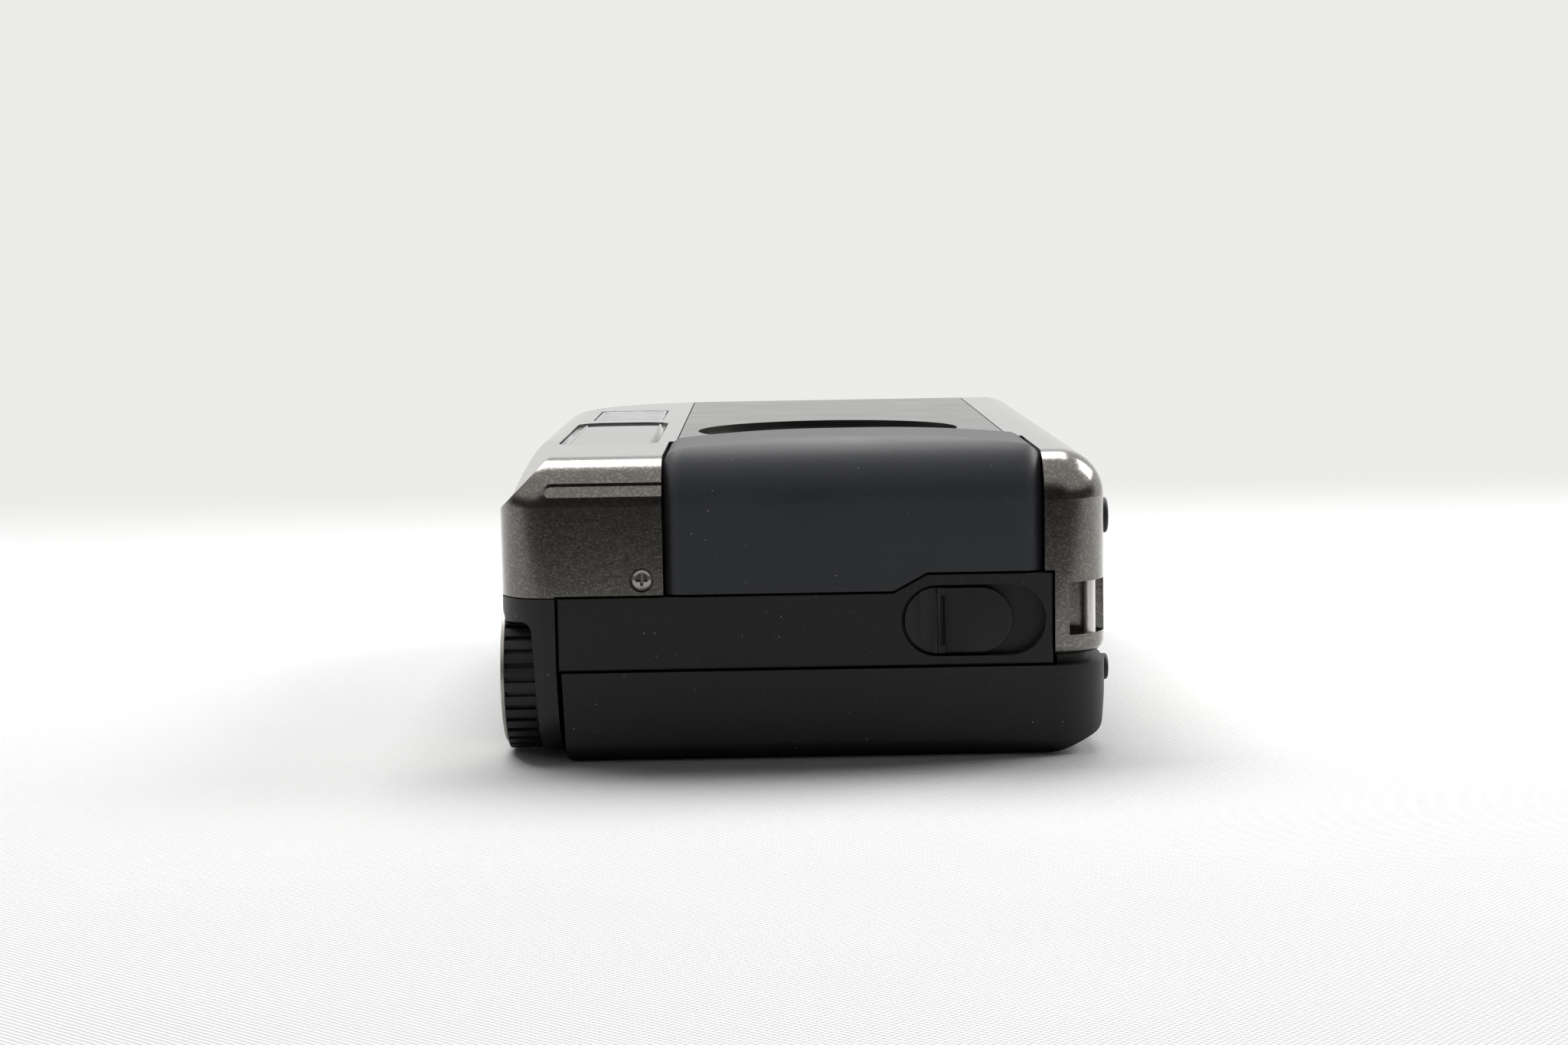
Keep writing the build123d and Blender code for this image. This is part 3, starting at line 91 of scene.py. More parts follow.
# One material, with its coordinates in millimetres
class Finish:
    def __init__(self, name, tree=None):
        if tree is None:
            self.material = bpy.data.materials.new(name)
            self.material.use_nodes = True
            tree = self.material.node_tree
            tree.nodes.clear()
        self.tree = tree

    def plug(self, socket, value):
        if isinstance(value, Wire):
            self.tree.links.new(value.socket, socket)
        else:
            socket.default_value = value

    def add(self, kind, settings={}, sockets={}, out=0):
        node = self.tree.nodes.new("ShaderNode" + kind)
        for key, value in settings.items():
            setattr(node, key, value)
        for key, value in sockets.items():
            self.plug(node.inputs[key], value)
        return Wire(self, node.outputs[out]) if len(node.outputs) else None

    def beside(self, wire, out):  # another output of the node that a wire comes from
        return Wire(self, wire.socket.node.outputs[out])

    def place(self):  # object coordinates in millimetres
        spot = self.add("TexCoord", {}, {}, "Object")
        return self.add("VectorMath", {"operation": "SCALE"}, {0: spot, "Scale": 1 / mm})

    def stretched(self, scale, turn=(0, 0, 0)):
        return self.add("Mapping", {}, {"Vector": self.place(), "Scale": scale, "Rotation": turn})

    def noise(self, scale, detail=3.0, roughness=0.55, vector=None):
        sockets = {"Vector": vector or self.place(), "Scale": scale, "Detail": detail, "Roughness": roughness}
        return self.add("TexNoise", {}, sockets, "Fac")

    def cells(self, scale, vector=None):  # distance to the nearest cell point, and a value for each cell
        sockets = {"Vector": vector or self.place(), "Scale": scale}
        distance = self.add("TexVoronoi", {}, sockets, "Distance")
        return distance, self.add("SeparateColor", {}, {"Color": self.beside(distance, "Color")})

    def mix(self, factor, first, second):
        return self.add("Mix", {"data_type": "RGBA"}, {0: factor, 6: colour(first), 7: colour(second)}, 2)

    def bump(self, height, distance, strength, under=None):
        sockets = {"Height": height, "Distance": distance * mm, "Strength": strength}
        if under is not None:
            sockets["Normal"] = under
        return self.add("Bump", {}, sockets)

    def specks(self, scale, radius, share, vector=None):  # sparse dots of dust
        distance, chance = self.cells(scale, vector)
        return (distance < radius) * (chance < share)

    def rays(self):  # 1 for camera rays; and 1 for camera, glossy and transmission rays
        camera = self.add("LightPath", {}, {}, "Is Camera Ray")
        glossy = self.beside(camera, "Is Glossy Ray")
        through = self.beside(camera, "Is Transmission Ray")
        return camera, (camera + glossy + through).ramp(0, 1)

    def surface(self, sockets):
        shader = self.add("BsdfPrincipled", {}, sockets)
        self.add("OutputMaterial", {}, {"Surface": shader})
        return self.material


def colour(value):
    return value if isinstance(value, Wire) else (*value[:3], 1.0)


def grey(level, warmth=0.0):
    return (level * (1 + warmth), level, level * (1 - warmth))


bronze = {
    "base": (0.13, 0.122, 0.109),
    "flake": (0.26, 0.245, 0.222),
    "flakesPerMm": 5.5,
    "flakeShare": 0.8,
    "flakeTilt": 0.0025,
    "cloud": grey(0.062, 0.05),
    "cloudScale": 0.06,
    "dust": grey(0.45),
    "peelScale": 3.2,
    "peelDepth": 0.014,
    "roughness": 0.17,
    "uneven": 0.08,
    "metallic": 0.9,
    "coat": 0.7,
    "coatRoughness": 0.1,
}


def bronzePaint():
    b = bronze
    f = Finish("bronzePaint")
    chance = f.cells(b["flakesPerMm"])[1]
    base = f.mix(chance.smooth(0.5, 1.0) * b["flakeShare"], b["base"], b["flake"])
    base = f.mix(f.noise(b["cloudScale"], 2.0).ramp(0.35, 0.75) * 0.25, base, b["cloud"])
    base = f.mix(f.specks(0.55, 0.05, 0.22) * 0.6, base, b["dust"])
    tilt = f.bump(chance, b["flakeTilt"], 0.5)
    return f.surface({
        "Base Color": base,
        "Metallic": b["metallic"],
        "Roughness": b["roughness"] + f.noise(0.9, 2.0) * b["uneven"],
        "Coat Weight": b["coat"],
        "Coat Roughness": b["coatRoughness"],
        "Normal": f.bump(f.noise(b["peelScale"], 3.0), b["peelDepth"], 0.5, tilt),
    })


plastic = {
    "patchScale": 0.11,
    "patchLighter": 1.5,
    "patchShare": 0.35,
    "patchRough": 0.12,
    "dots": {"scale": 0.5, "radius": 0.05},
    "fine": {"scale": 2.1, "radius": 0.11, "share": 0.3, "strength": 0.5},
    "hair": {"scale": 0.3, "radius": 0.035, "stretch": (1.0, 1.0, 0.16), "turn": (0.5, 0.9, 0.3),
             "strength": 0.5},
    "dust": grey(0.32, 0.03),
    "dustCover": 0.65,
    "dustRough": 0.2,
    "grainStrength": 0.6,
}


def moulded(name, base, roughness, grain=7.0, depth=0.012, dusty=0.25, ior=1.5):
    p = plastic
    dots, fine, hair = p["dots"], p["fine"], p["hair"]
    f = Finish(name)
    patch = f.noise(p["patchScale"], 3.0)
    lighter = tuple(c * p["patchLighter"] for c in base)
    tone = f.mix(patch.ramp(0.3, 0.75) * p["patchShare"], base, lighter)
    dust = f.specks(dots["scale"], dots["radius"], dusty)
    dust = dust + f.specks(fine["scale"], fine["radius"], dusty * fine["share"]) * fine["strength"]
    along = f.stretched(hair["stretch"], hair["turn"])
    dust = dust + f.specks(hair["scale"], hair["radius"], dusty, along) * hair["strength"]
    return f.surface({
        "Base Color": f.mix(dust.ramp(0, 1) * p["dustCover"], tone, p["dust"]),
        "Roughness": roughness + patch * p["patchRough"] + dust * p["dustRough"],
        "Normal": f.bump(f.noise(grain, 2.0), depth, p["grainStrength"]),
        "IOR": ior,
    })


metal = {
    "streakScale": 1.2,
    "streakDarker": 0.6,
    "streakShare": 0.4,
    "streakRough": 0.12,
    "grime": grey(0.12, 0.08),
    "grimeScale": 0.7,
    "grimeShare": 0.35,
    "grimeRough": 0.25,
}


def plainMetal(name, base, roughness, brushAlong=(1, 1, 30), bite=0.004):
    m = metal
    f = Finish(name)
    streak = f.noise(m["streakScale"], 4.0, 0.6, f.stretched(brushAlong))
    darker = tuple(c * m["streakDarker"] for c in base)
    tone = f.mix(streak.ramp(0.3, 0.8) * m["streakShare"], base, darker)
    grime = f.noise(m["grimeScale"], 4.0).ramp(0.58, 0.8) * m["grimeShare"]
    return f.surface({
        "Base Color": f.mix(grime, tone, m["grime"]),
        "Metallic": 1.0,
        "Roughness": roughness + streak * m["streakRough"] + grime * m["grimeRough"],
        "Normal": f.bump(streak, bite, 0.5),
    })


def clearPane(name, base, weight):  # faint smears on clear plastic
    f = Finish(name)
    smear = f.noise(0.25, 4.0).ramp(0.45, 0.8)
    return f.surface({
        "Base Color": f.mix(smear * 0.08, base, grey(0.5)),
        "Roughness": 0.05 + smear * 0.06,
        "Transmission Weight": weight,
        "IOR": 1.49,
        "Coat Weight": 0.3,
        "Coat Roughness": 0.04,
    })


def coatedGlass():
    f = Finish("coatedGlass")
    # the colour turns from blue face-on to purple at grazing view: a painted reflection of the lens coating
    edge = f.add("LayerWeight", {}, {"Blend": 0.35}, "Facing")
    return f.surface({
        "Base Color": f.mix(edge, (0.55, 0.7, 0.9), (0.75, 0.5, 0.85)),
        "Roughness": 0.02,
        "Transmission Weight": 0.9,
        "IOR": 1.6,
        "Coat Weight": 0.6,
        "Coat Roughness": 0.02,
    })


board = {
    "green": (0.012, 0.075, 0.03),
    "trackGreen": (0.03, 0.15, 0.06),
    "pad": (0.75, 0.6, 0.32),
    "padsPerMm": 0.9,
    "padRadius": 0.16,
    "padShare": 0.4,
    "tracks": 14.0,
}


def boardFinish():
    b = board
    f = Finish("boardFinish")
    distance, chance = f.cells(b["padsPerMm"])
    track = f.noise(0.8, 1.0) * b["tracks"]
    line = f.add("Math", {"operation": "PINGPONG"}, {0: track, 1: 0.5}).smooth(0.2, 0.3)
    pads = (distance < b["padRadius"]) * (chance < b["padShare"])
    return f.surface({
        "Base Color": f.mix(pads, f.mix(line, b["green"], b["trackGreen"]), b["pad"]),
        "Metallic": pads * 0.9,
        "Roughness": 0.42,
        "Normal": f.bump(line + pads, 0.03, 0.5),
    })


# Plastics: colour, roughness, then grain per millimetre and its depth, dust, and gloss
finishes = {
    "bronze": bronzePaint(),
    "grip": moulded("gripPlastic", (0.0245, 0.0268, 0.0315), 0.46, grain=5.0, depth=0.014, dusty=0.9),
    "black": moulded("blackPlastic", (0.0138, 0.0139, 0.0148), 0.42, grain=8.0, depth=0.008, dusty=0.9,
                     ior=1.4),
    "top": moulded("topPaint", (0.018, 0.0177, 0.0165), 0.36, grain=9.0, depth=0.006, ior=1.42),
    "panel": moulded("panelPaint", (0.05, 0.048, 0.044), 0.15, grain=9.0, depth=0.003, ior=1.6),
    "dial": moulded("dialRubber", (0.016, 0.016, 0.017), 0.4, grain=6.0, depth=0.02, dusty=0.6, ior=1.4),
    "frame": moulded("framePlastic", (0.012, 0.012, 0.012), 0.55, grain=6.0, depth=0.015, dusty=0.0),
    "barrel": moulded("barrelBlack", (0.014, 0.014, 0.015), 0.38, grain=9.0, depth=0.006, dusty=0.1),
    "rubber": moulded("footRubber", (0.011, 0.011, 0.011), 0.5, grain=6.0, depth=0.02, dusty=0.5),
    "blade": moulded("bladeBlack", (0.02, 0.02, 0.021), 0.3, grain=12.0, depth=0.004, dusty=0.1),
    "display": moulded("displayGrey", (0.33, 0.36, 0.29), 0.35, grain=12.0, depth=0.002, dusty=0.0),
    "sleeve": moulded("capacitorSleeve", (0.02, 0.024, 0.07), 0.3, grain=8.0, depth=0.004, dusty=0.0),
    "cell": moulded("batteryCase", (0.03, 0.03, 0.032), 0.28, grain=10.0, depth=0.003, dusty=0.0),
    "nickel": plainMetal("nickelPlate", (0.95, 0.93, 0.89), 0.32),
    "screw": plainMetal("screwMetal", (0.34, 0.31, 0.3), 0.2, (8, 8, 1)),
    "cap": plainMetal("capMetal", (0.45, 0.43, 0.4), 0.34, (1, 20, 1)),
    "steel": plainMetal("plainSteel", (0.55, 0.55, 0.55), 0.3),
    "brass": plainMetal("plainBrass", (0.75, 0.55, 0.25), 0.28),
    "mirror": plainMetal("mirrorMetal", (0.85, 0.85, 0.86), 0.06, (1, 6, 1), 0.001),
    "pane": clearPane("clearPane", (0.02, 0.02, 0.022), 0.35),
    "flash": clearPane("flashPane", (0.75, 0.76, 0.78), 0.75),
    "glass": coatedGlass(),
    "board": boardFinish(),
}
print("finishes made,", len(finishes))

dressing = {
    "bronze": ["front_cover"],
    "grip": ["grip_cover"],
    "black": ["back_door", "side_cover", "latch_slider", "zoom_rocker", "flash_button", "timer_button",
              "eyepiece", "battery_door"],
    "top": ["rear_top_cover"],
    "panel": ["front_panel"],
    "dial": ["mode_dial"],
    "cap": ["mode_dial_cap"],
    "nickel": ["strap_lug_pin", "shutter_button"],
    "screw": ["cover_screws"],
    "rubber": ["body_feet", "door_feet"],
    "pane": ["window_panel", "film_window", "display_window"],
    "flash": ["flash_window", "flash_lamp"],
    "glass": ["front_lens", "rear_lens", "viewfinder_lens"],
    "barrel": ["outer_barrel", "inner_barrel", "lens_mount_tube"],
    "frame": ["chassis", "viewfinder", "autofocus_module", "take_up_spool", "front_lens_cell",
              "rear_lens_cell", "lens_cover_ring", "shutter_housing", "film_sprocket", "rewind_fork",
              "reduction_gear"],
    "blade": ["lens_cover_blade_left", "lens_cover_blade_right", "shutter_blade_left",
              "shutter_blade_right"],
    "steel": ["hinge_pin", "tripod_bush", "film_motor", "gear_plate", "pressure_plate",
              "pressure_spring", "battery_door_contact", "battery_back_contact"],
    "brass": ["motor_pinion"],
    "board": ["main_circuit_board", "top_circuit_board"],
    "display": ["display_panel"],
    "mirror": ["flash_reflector"],
    "sleeve": ["flash_capacitor"],
    "cell": ["battery"],
}
for name, members in dressing.items():
    for member in members:
        mesh = nodes[member].data
        mesh.materials.clear()
        mesh.materials.append(finishes[name])
print("CAD nodes dressed")


def activate(piece):
    bpy.ops.object.select_all(action="DESELECT")
    piece.select_set(True)
    bpy.context.view_layer.objects.active = piece


# Selects the faces whose centre and normal pass the test, or the edges whose two ends do, in millimetres
def select(piece, mode, chosen):
    bpy.ops.object.mode_set(mode="EDIT")
    bpy.ops.mesh.select_mode(type=mode)
    bpy.ops.mesh.select_all(action="DESELECT")
    bpy.ops.object.mode_set(mode="OBJECT")
    mesh = piece.data
    if mode == "FACE":
        for face in mesh.polygons:
            face.select = chosen(face.center / mm, face.normal)
    else:
        for edge in mesh.edges:
            ends = [mesh.vertices[i].co / mm for i in edge.vertices]
            edge.select = chosen(ends[0], ends[1])
    bpy.ops.object.mode_set(mode="EDIT")


def startDisc(name, radius, depth, sides):
    bpy.ops.object.select_all(action="DESELECT")
    bpy.ops.mesh.primitive_cylinder_add(vertices=sides, radius=radius * mm, depth=depth * mm,
                                        location=(0, 0, 0))
    bpy.context.object.name = name
    return bpy.context.object


def startBlock(name, low, high):
    bpy.ops.object.select_all(action="DESELECT")
    middle = [(a + b) / 2 * mm for a, b in zip(low, high)]
    bpy.ops.mesh.primitive_cube_add(size=1, location=middle)
    block = bpy.context.object
    block.name = name
    block.scale = [(b - a) * mm for a, b in zip(low, high)]
    bpy.ops.object.transform_apply(location=True, rotation=True, scale=True)
    return block


def copyNode(node, name):  # a CAD node's mesh with its loose triangles joined
    piece = nodes[node].copy()
    piece.data = piece.data.copy()
    piece.name = name
    scene.collection.objects.link(piece)
    activate(piece)
    bpy.ops.object.mode_set(mode="EDIT")
    bpy.ops.mesh.select_all(action="SELECT")
    bpy.ops.mesh.remove_doubles(threshold=0.001 * mm)
    bpy.ops.object.mode_set(mode="OBJECT")
    return piece


def soften(piece, width, segments):
    bevel = piece.modifiers.new("soften", "BEVEL")
    bevel.width = width * mm
    bevel.segments = segments
    bevel.limit_method = "ANGLE"
    bevel.angle_limit = math.radians(35)
    bpy.ops.object.modifier_apply(modifier="soften")


def carve(piece, tool):
    cut = piece.modifiers.new("carve", "BOOLEAN")
    cut.object = tool
    cut.solver = "EXACT"
    activate(piece)
    bpy.ops.object.modifier_apply(modifier="carve")
    bpy.data.objects.remove(tool)


def insetTop(piece, steps):  # the top face stepped inwards and up, by pairs of inset and rise
    select(piece, "FACE", lambda spot, normal: normal.z > 0.9)
    for inset, rise in steps:
        bpy.ops.mesh.inset(thickness=inset * mm)
        bpy.ops.transform.translate(value=(0, 0, rise * mm))
    bpy.ops.object.mode_set(mode="OBJECT")


def aimDisc(piece, middle, out):  # the disc's top turned to face out, with its middle in millimetres
    turn = Vector(out).to_track_quat("Z", "Y").to_matrix().to_4x4()
    piece.matrix_world = Matrix.Translation(Vector(middle) * mm) @ turn


def finishPiece(piece, finish, slot, body, *replaced):
    activate(piece)
    bpy.ops.object.transform_apply(location=True, rotation=True, scale=True)
    bpy.ops.object.mode_set(mode="EDIT")
    bpy.ops.mesh.select_all(action="SELECT")
    bpy.ops.mesh.normals_make_consistent(inside=False)
    bpy.ops.object.mode_set(mode="OBJECT")
    bpy.ops.object.shade_smooth_by_angle(angle=math.radians(32))
    piece.data.materials.clear()
    piece.data.materials.append(finishes[finish])
    if replaced:
        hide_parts(*replaced)
    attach(piece, body)


screws = {
    "radius": 1.25,
    "height": 1.5,
    "sides": 40,
    "crown": 0.3,
    "crownSteps": ((0.2, 0.5), (0.35, 0.4), (0.4, 0.1)),  # inset, and share of the crown's rise
    "crossLength": 1.75,
    "crossWidth": 0.46,
    "crossDepth": 0.95,
    "crossTaper": 0.55,
    "places": [  # middle of the head's outer face, and the way it faces
        ((-18.95, -57.8, 21.1), (0, -1, 0)),
        ((-8.75, 57.8, 24.0), (0, 1, 0)),
        ((34.65, -43.8, 16.0), (1, 0, 0)),
        ((34.65, 23.0, 20.0), (1, 0, 0)),
    ],
}


def addScrews():
    s = screws
    head = startDisc("coverScrew1", s["radius"], s["height"], s["sides"])
    insetTop(head, [(inset, s["crown"] * share) for inset, share in s["crownSteps"]])
    top = s["height"] / 2 + s["crown"]
    floor = top - s["crossDepth"]
    length, width = s["crossLength"] / 2, s["crossWidth"] / 2
    for x, y in ((length, width), (width, length)):
        bar = startBlock("bar", (-x, -y, floor), (x, y, top + 1))
        select(bar, "FACE", lambda spot, normal: normal.z < -0.9)
        taper = s["crossTaper"]
        bpy.ops.transform.resize(value=(taper, taper, 1), center_override=(0, 0, floor * mm))
        bpy.ops.object.mode_set(mode="OBJECT")
        carve(head, bar)
    heads = [head]
    for index in range(1, len(s["places"])):
        copy = head.copy()
        copy.data = head.data.copy()
        copy.name = f"coverScrew{index + 1}"
        scene.collection.objects.link(copy)
        heads.append(copy)
    for screw, (middle, out) in zip(heads, s["places"]):
        aimDisc(screw, [m - top * o for m, o in zip(middle, out)], out)
        replaced = ["cover_screws"] if screw == head else []
        finishPiece(screw, "screw", "steel", "camera_body", *replaced)


leaf = {"node": "pressure_spring", "travel": 0.8}


def addLeafSpring():  # the CAD spring copied, with a mesh of its own, and carried by the back door
    spring = copyNode(leaf["node"], "leafSpring")
    finishPiece(spring, "steel", "steel", "back_door", leaf["node"])
    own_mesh(spring)


thumb = {
    "node": "latch_slider",
    "left": 11.95,
    "wall": 15.78,
    "low": 12.75,
    "high": 18.9,
    "depth": 0.65,
    "corner": 1.4,
    "cornerSegments": 6,
    "slopeEnds": 1.6,  # from the wall
    "slopeRise": 0.8,  # share of the depth
}


def addLatch():  # the CAD slider with its dished thumb rest, which ends in a straight wall
    t = thumb
    slider = copyNode(t["node"], "latchThumb")
    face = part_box(t["node"])[0][1] / mm
    dish = startBlock("dish", (t["left"], face - 0.5, t["low"]), (t["wall"], face + t["depth"], t["high"]))
    soften(dish, t["corner"], t["cornerSegments"])
    deep = face + t["depth"] * (1 - t["slopeRise"])
    select(dish, "FACE", lambda spot, normal: spot.y > deep and spot.x < t["wall"] - t["slopeEnds"])
    bpy.ops.transform.translate(value=(0, -t["depth"] * t["slopeRise"] * mm, 0))
    bpy.ops.object.mode_set(mode="OBJECT")
    carve(slider, dish)
    finishPiece(slider, "black", "black_plastic", "latch_slider", t["node"])


dial = {
    "ribs": 34,
    "centre": (-48.2, 9.27),  # y and z of its axis
    "radius": 8.95,
    "low": -35.1,
    "high": -31.4,
    "grooveInset": 0.1,
    "grooveDepth": 0.55,
    "rim": ((0.5, -0.25),),
    "capRadius": 8.15,
    "capSides": 96,
    "capThick": 0.6,
    "capOut": -35.8,
    "capRise": 0.28,
    "capInsets": (0.12, 0.5, 1.6, 2.4),
}


def inGroove(spot, normal):  # every second side face of the wheel
    sides = dial["ribs"] * 2
    turn = math.atan2(spot.y, spot.x) / math.tau
    return abs(normal.z) < 0.2 and math.floor(turn * sides) % 2 == 0


def addDial():
    d = dial
    wheel = startDisc("modeDialWheel", d["radius"], d["high"] - d["low"], d["ribs"] * 2)
    select(wheel, "FACE", inGroove)
    bpy.ops.mesh.inset(thickness=d["grooveInset"] * mm, use_individual=True)
    bpy.ops.mesh.extrude_region_shrink_fatten(TRANSFORM_OT_shrink_fatten={"value": -d["grooveDepth"] * mm})
    insetTop(wheel, d["rim"])
    aimDisc(wheel, ((d["low"] + d["high"]) / 2, *d["centre"]), (-1, 0, 0))
    finishPiece(wheel, "dial", "black_plastic", "mode_dial", "mode_dial")
    cap = startDisc("modeDialCap", d["capRadius"], d["capThick"], d["capSides"])
    insetTop(cap, [(inset, d["capRise"] / len(d["capInsets"])) for inset in d["capInsets"]])
    aimDisc(cap, (d["capOut"] + d["capRise"] + d["capThick"] / 2, *d["centre"]), (-1, 0, 0))
    finishPiece(cap, "cap", "silver_metal", "mode_dial", "mode_dial_cap")


panes = {  # out is the axis and the side that the pane shows
    "windowPane": {"node": "window_panel", "out": (0, 0, 1), "frame": 0.9, "sink": 0.14, "soft": 0.22},
    "displayPane": {"node": "display_window", "out": (-1, 0, 0), "frame": 1.1, "sink": 0.12, "soft": 0.2},
}
paneSoftSegments = 3
paneStep = 0.12  # width of the step round the sunk face


def addPanes():
    for name, row in panes.items():
        low, high = [Vector(c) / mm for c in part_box(row["node"])]
        out = Vector(row["out"])
        pane = startBlock(name, low, high)
        soften(pane, row["soft"], paneSoftSegments)
        select(pane, "FACE", lambda spot, normal: normal.dot(out) > 0.99)
        bpy.ops.mesh.inset(thickness=row["frame"] * mm)
        bpy.ops.mesh.inset(thickness=paneStep * mm)
        bpy.ops.transform.translate(value=out * -row["sink"] * mm)
        bpy.ops.object.mode_set(mode="OBJECT")
        finishPiece(pane, "pane", "clear_window", "camera_body", row["node"])


flash = {"node": "flash_window", "ribs": 20, "ribDepth": 0.16, "frame": 0.6, "sink": 0.06, "soft": 0.25}


def addFlashWindow():
    def onTop(spot, normal):
        return normal.z > 0.99

    low, high = [Vector(c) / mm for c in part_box(flash["node"])]
    lens = startBlock("flashLens", low, high)
    soften(lens, flash["soft"], paneSoftSegments)
    select(lens, "FACE", onTop)
    bpy.ops.mesh.inset(thickness=flash["frame"] * mm)
    bpy.ops.transform.translate(value=(0, 0, -flash["sink"] * mm))
    bpy.ops.object.mode_set(mode="OBJECT")
    first = low.y + 2 * flash["frame"]
    pitch = (high.y - low.y - 4 * flash["frame"]) / flash["ribs"]
    shortest = high.x - low.x - 3 * flash["frame"] - 1.5  # of the lines across the window
    for index in range(1, flash["ribs"]):  # the face cut into strips, then every second line sunk
        select(lens, "FACE", onTop)
        bpy.ops.mesh.bisect(plane_co=(0, (first + index * pitch) * mm, 0), plane_no=(0, 1, 0))

    def isValley(a, b):
        step = (a.y - first) / pitch
        across = abs(a.y - b.y) < 0.01 and abs(a.x - b.x) > shortest
        odd = round(step) % 2 == 1 and abs(step - round(step)) < 0.05
        return across and odd and min(a.z, b.z) > high.z - 0.1

    select(lens, "EDGE", isValley)
    bpy.ops.transform.translate(value=(0, 0, -flash["ribDepth"] * mm))
    bpy.ops.object.mode_set(mode="OBJECT")
    finishPiece(lens, "flash", "clear_window", "camera_body", flash["node"])


addScrews()
addLeafSpring()
addLatch()
addDial()
addPanes()
addFlashWindow()
print("new pieces modelled")

eye = {  # millimetres and degrees
    "place": (-3.75, -360.1, 59.0),
    "pitch": 5.953,
    "yaw": 0.23,
    "roll": -0.97,
    "focalPixels": 3476.0,
    "widthPixels": 2048.0,
    "sensorWidth": 36.0,
}


def addCamera():
    data = bpy.data.cameras.new("camera")
    data.sensor_width = eye["sensorWidth"]
    data.lens = eye["focalPixels"] / eye["widthPixels"] * eye["sensorWidth"]
    data.clip_start = 0.01
    camera = bpy.data.objects.new("camera", data)
    scene.collection.objects.link(camera)
    turn = Matrix.Rotation(math.radians(-eye["yaw"]), 4, "Z")
    turn = turn @ Matrix.Rotation(math.radians(90 - eye["pitch"]), 4, "X")
    turn = turn @ Matrix.Rotation(math.radians(eye["roll"]), 4, "Z")
    camera.matrix_world = Matrix.Translation(Vector(eye["place"]) * mm) @ turn
    scene.camera = camera


studio = {  # metres
    "floorNear": -0.19,
    "floorFar": 0.75,
    "floorHalfWidth": 1.1,
    "backHeight": 0.9,
    "backLean": 0.1,
    "sweep": 0.35,
    "sweepSegments": 14,
}
backdrop = {  # starts and ends in millimetres behind the middle
    "starts": 60.0,
    "ends": 300.0,
    "colour": (1, 0.995, 0.985, 1),
    "level": 0.84,
}
cloth = {
    "dark": (0.86, 0.86, 0.86),
    "light": (0.9, 0.9, 0.895),
    "crumb": grey(0.12),
    "weaveScale": 0.6,
    "weaveTurn": (0, 0, 0.7),
    "weaveDepth": 0.09,
    "crumpleScale": 0.012,
    "crumpleDepth": 3.0,
}


def floorFinish():
    c = cloth
    f = Finish("paleCloth")
    turned = {"Vector": f.stretched((1, 1, 1), c["weaveTurn"]), "Scale": c["weaveScale"], "Distortion": 1.5}
    weave = f.add("TexWave", {"bands_direction": "X"}, turned)
    weave = weave + f.add("TexWave", {"bands_direction": "Y"}, turned)
    crumple = f.noise(c["crumpleScale"], 3.0)
    tone = f.mix(crumple.ramp(0.3, 0.7), c["dark"], c["light"])
    near = f.add("BsdfPrincipled", {}, {
        "Base Color": f.mix(f.specks(0.05, 0.035, 0.12) * 0.8, tone, c["crumb"]),
        "Roughness": 0.9,
        "Normal": f.bump(weave, c["weaveDepth"], 0.6, f.bump(crumple, c["crumpleDepth"], 0.15)),
    })
    far = f.add("SeparateXYZ", {}, {"Vector": f.place()}, "Y").smooth(backdrop["starts"], backdrop["ends"])
    glow = f.add("Emission", {}, {"Color": backdrop["colour"], "Strength": backdrop["level"]})
    both = f.add("MixShader", {}, {0: f.rays()[1] * far, 1: near, 2: glow})
    f.add("OutputMaterial", {}, {"Surface": both})
    return f.material


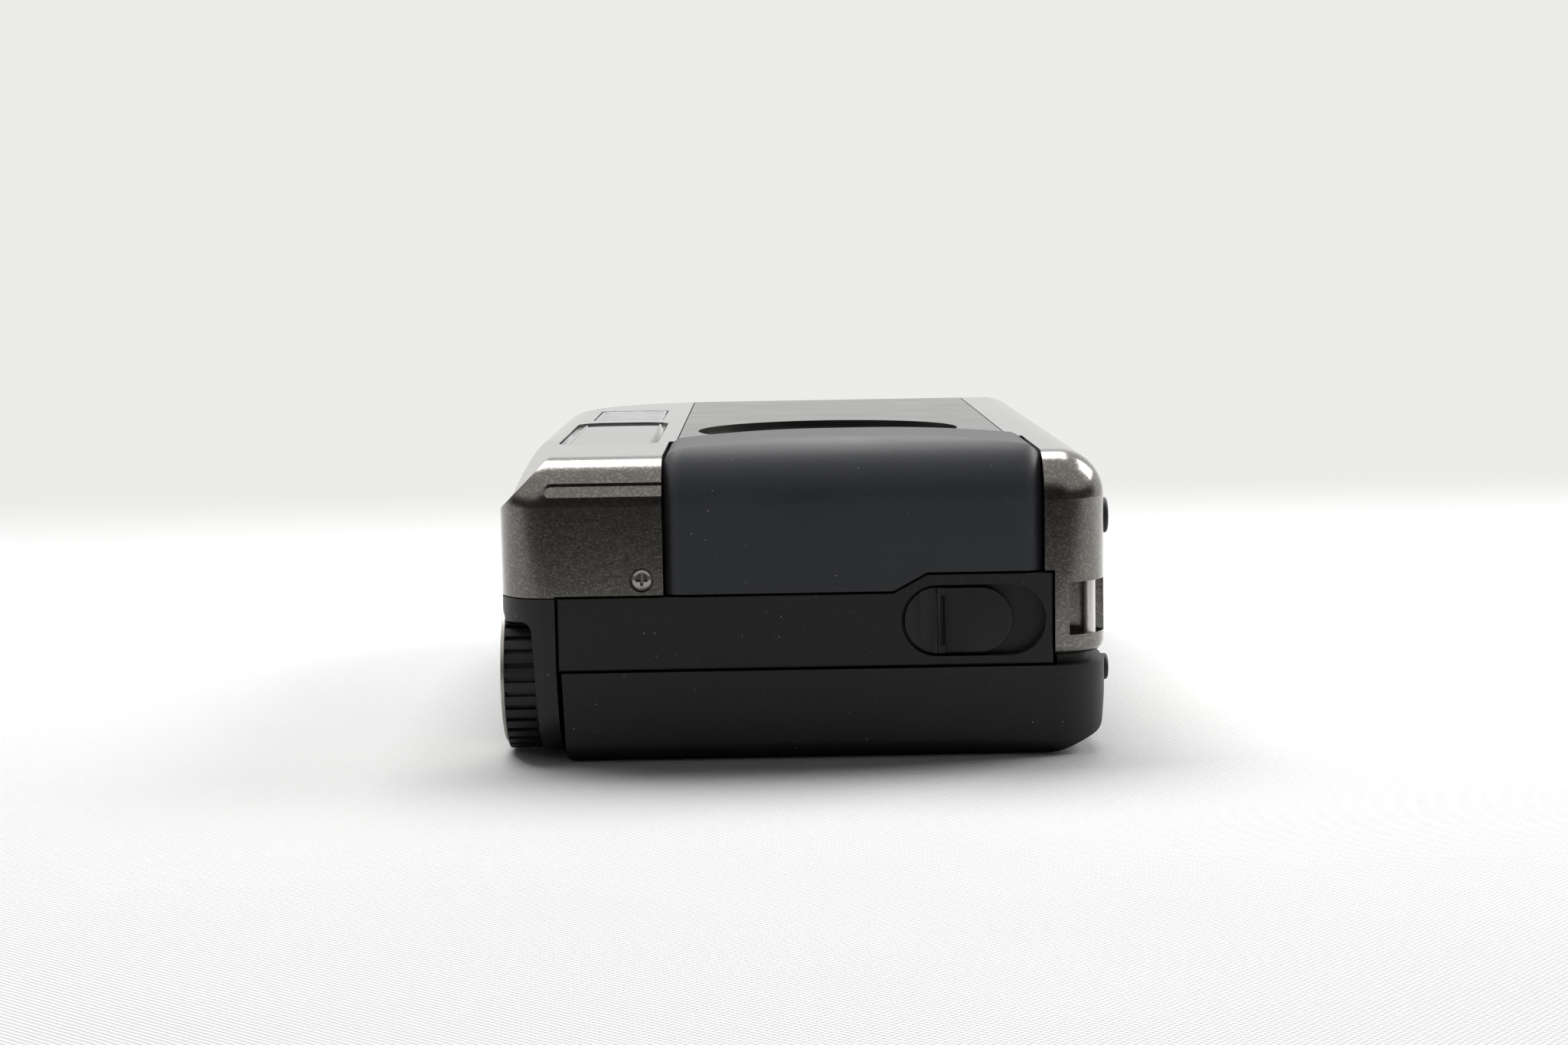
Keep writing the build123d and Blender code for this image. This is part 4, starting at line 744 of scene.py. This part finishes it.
def addStudio():
    s = studio
    bpy.ops.object.select_all(action="DESELECT")
    bpy.ops.mesh.primitive_plane_add(size=2, location=(0, 0, 0))
    floor = bpy.context.object
    floor.name = "floorSweep"
    floor.scale = (s["floorHalfWidth"], (s["floorFar"] - s["floorNear"]) / 2, 1)
    floor.location = (0, (s["floorFar"] + s["floorNear"]) / 2, 0)
    bpy.ops.object.transform_apply(location=True, rotation=True, scale=True)
    select(floor, "EDGE", lambda a, b: min(a.y, b.y) > (s["floorFar"] - 0.01) / mm)
    bpy.ops.mesh.extrude_region_move(TRANSFORM_OT_translate={"value": (0, s["backLean"], s["backHeight"])})
    bpy.ops.mesh.select_all(action="SELECT")
    bpy.ops.object.mode_set(mode="OBJECT")
    bevel = floor.modifiers.new("sweep", "BEVEL")
    bevel.width = s["sweep"]
    bevel.segments = s["sweepSegments"]
    bpy.ops.object.modifier_apply(modifier="sweep")
    bpy.ops.object.shade_smooth()
    floor.data.materials.append(floorFinish())


lamps = {  # metres
    "overhead": {"place": (-0.1, 0.38, 0.76), "aim": (0, 0, 0), "size": (0.9, 0.5), "watts": 8.6},
    "rightPanel": {"place": (0.62, 0.27, 0.46), "aim": (0, 0, 0.02), "size": (0.42, 0.34), "watts": 3.2},
}


def addLamps():
    for name, lamp in lamps.items():
        data = bpy.data.lights.new(name, "AREA")
        data.shape = "RECTANGLE"
        data.size, data.size_y = lamp["size"]
        data.energy = lamp["watts"]
        light = bpy.data.objects.new(name, data)
        scene.collection.objects.link(light)
        look = Vector(lamp["aim"]) - Vector(lamp["place"])
        turn = look.to_track_quat("-Z", "Y").to_matrix().to_4x4()
        light.matrix_world = Matrix.Translation(lamp["place"]) @ turn


room = {"dark": 0.03, "gloss": 0.92, "soft": 0.5}


def addWorld():
    world = bpy.data.worlds.new("paleRoom")
    scene.world = world
    world.use_nodes = True
    world.node_tree.nodes.clear()
    f = Finish("paleRoom", world.node_tree)
    way = f.add("TexCoord", {}, {}, "Generated")
    back = f.add("SeparateXYZ", {}, {"Vector": way}, "Y")
    up = f.beside(back, "Z")
    behind = back.smooth(0.0, 0.5)
    camera, seen = f.rays()
    pale = back.smooth(-0.95, -0.68) * up.smooth(0.1, 0.4)  # the backdrop overhead, as gloss shows it
    pale = behind + pale - behind * pale
    level = room["dark"] + seen * pale * room["gloss"] + (1 - seen) * behind * room["soft"]
    level = camera * backdrop["level"] + (1 - camera) * level
    shade = f.add("Background", {}, {"Color": backdrop["colour"], "Strength": level})
    f.add("OutputWorld", {}, {"Surface": shade})


addCamera()
addStudio()
addLamps()
addWorld()
scene.view_settings.view_transform = "Standard"
print("studio set")
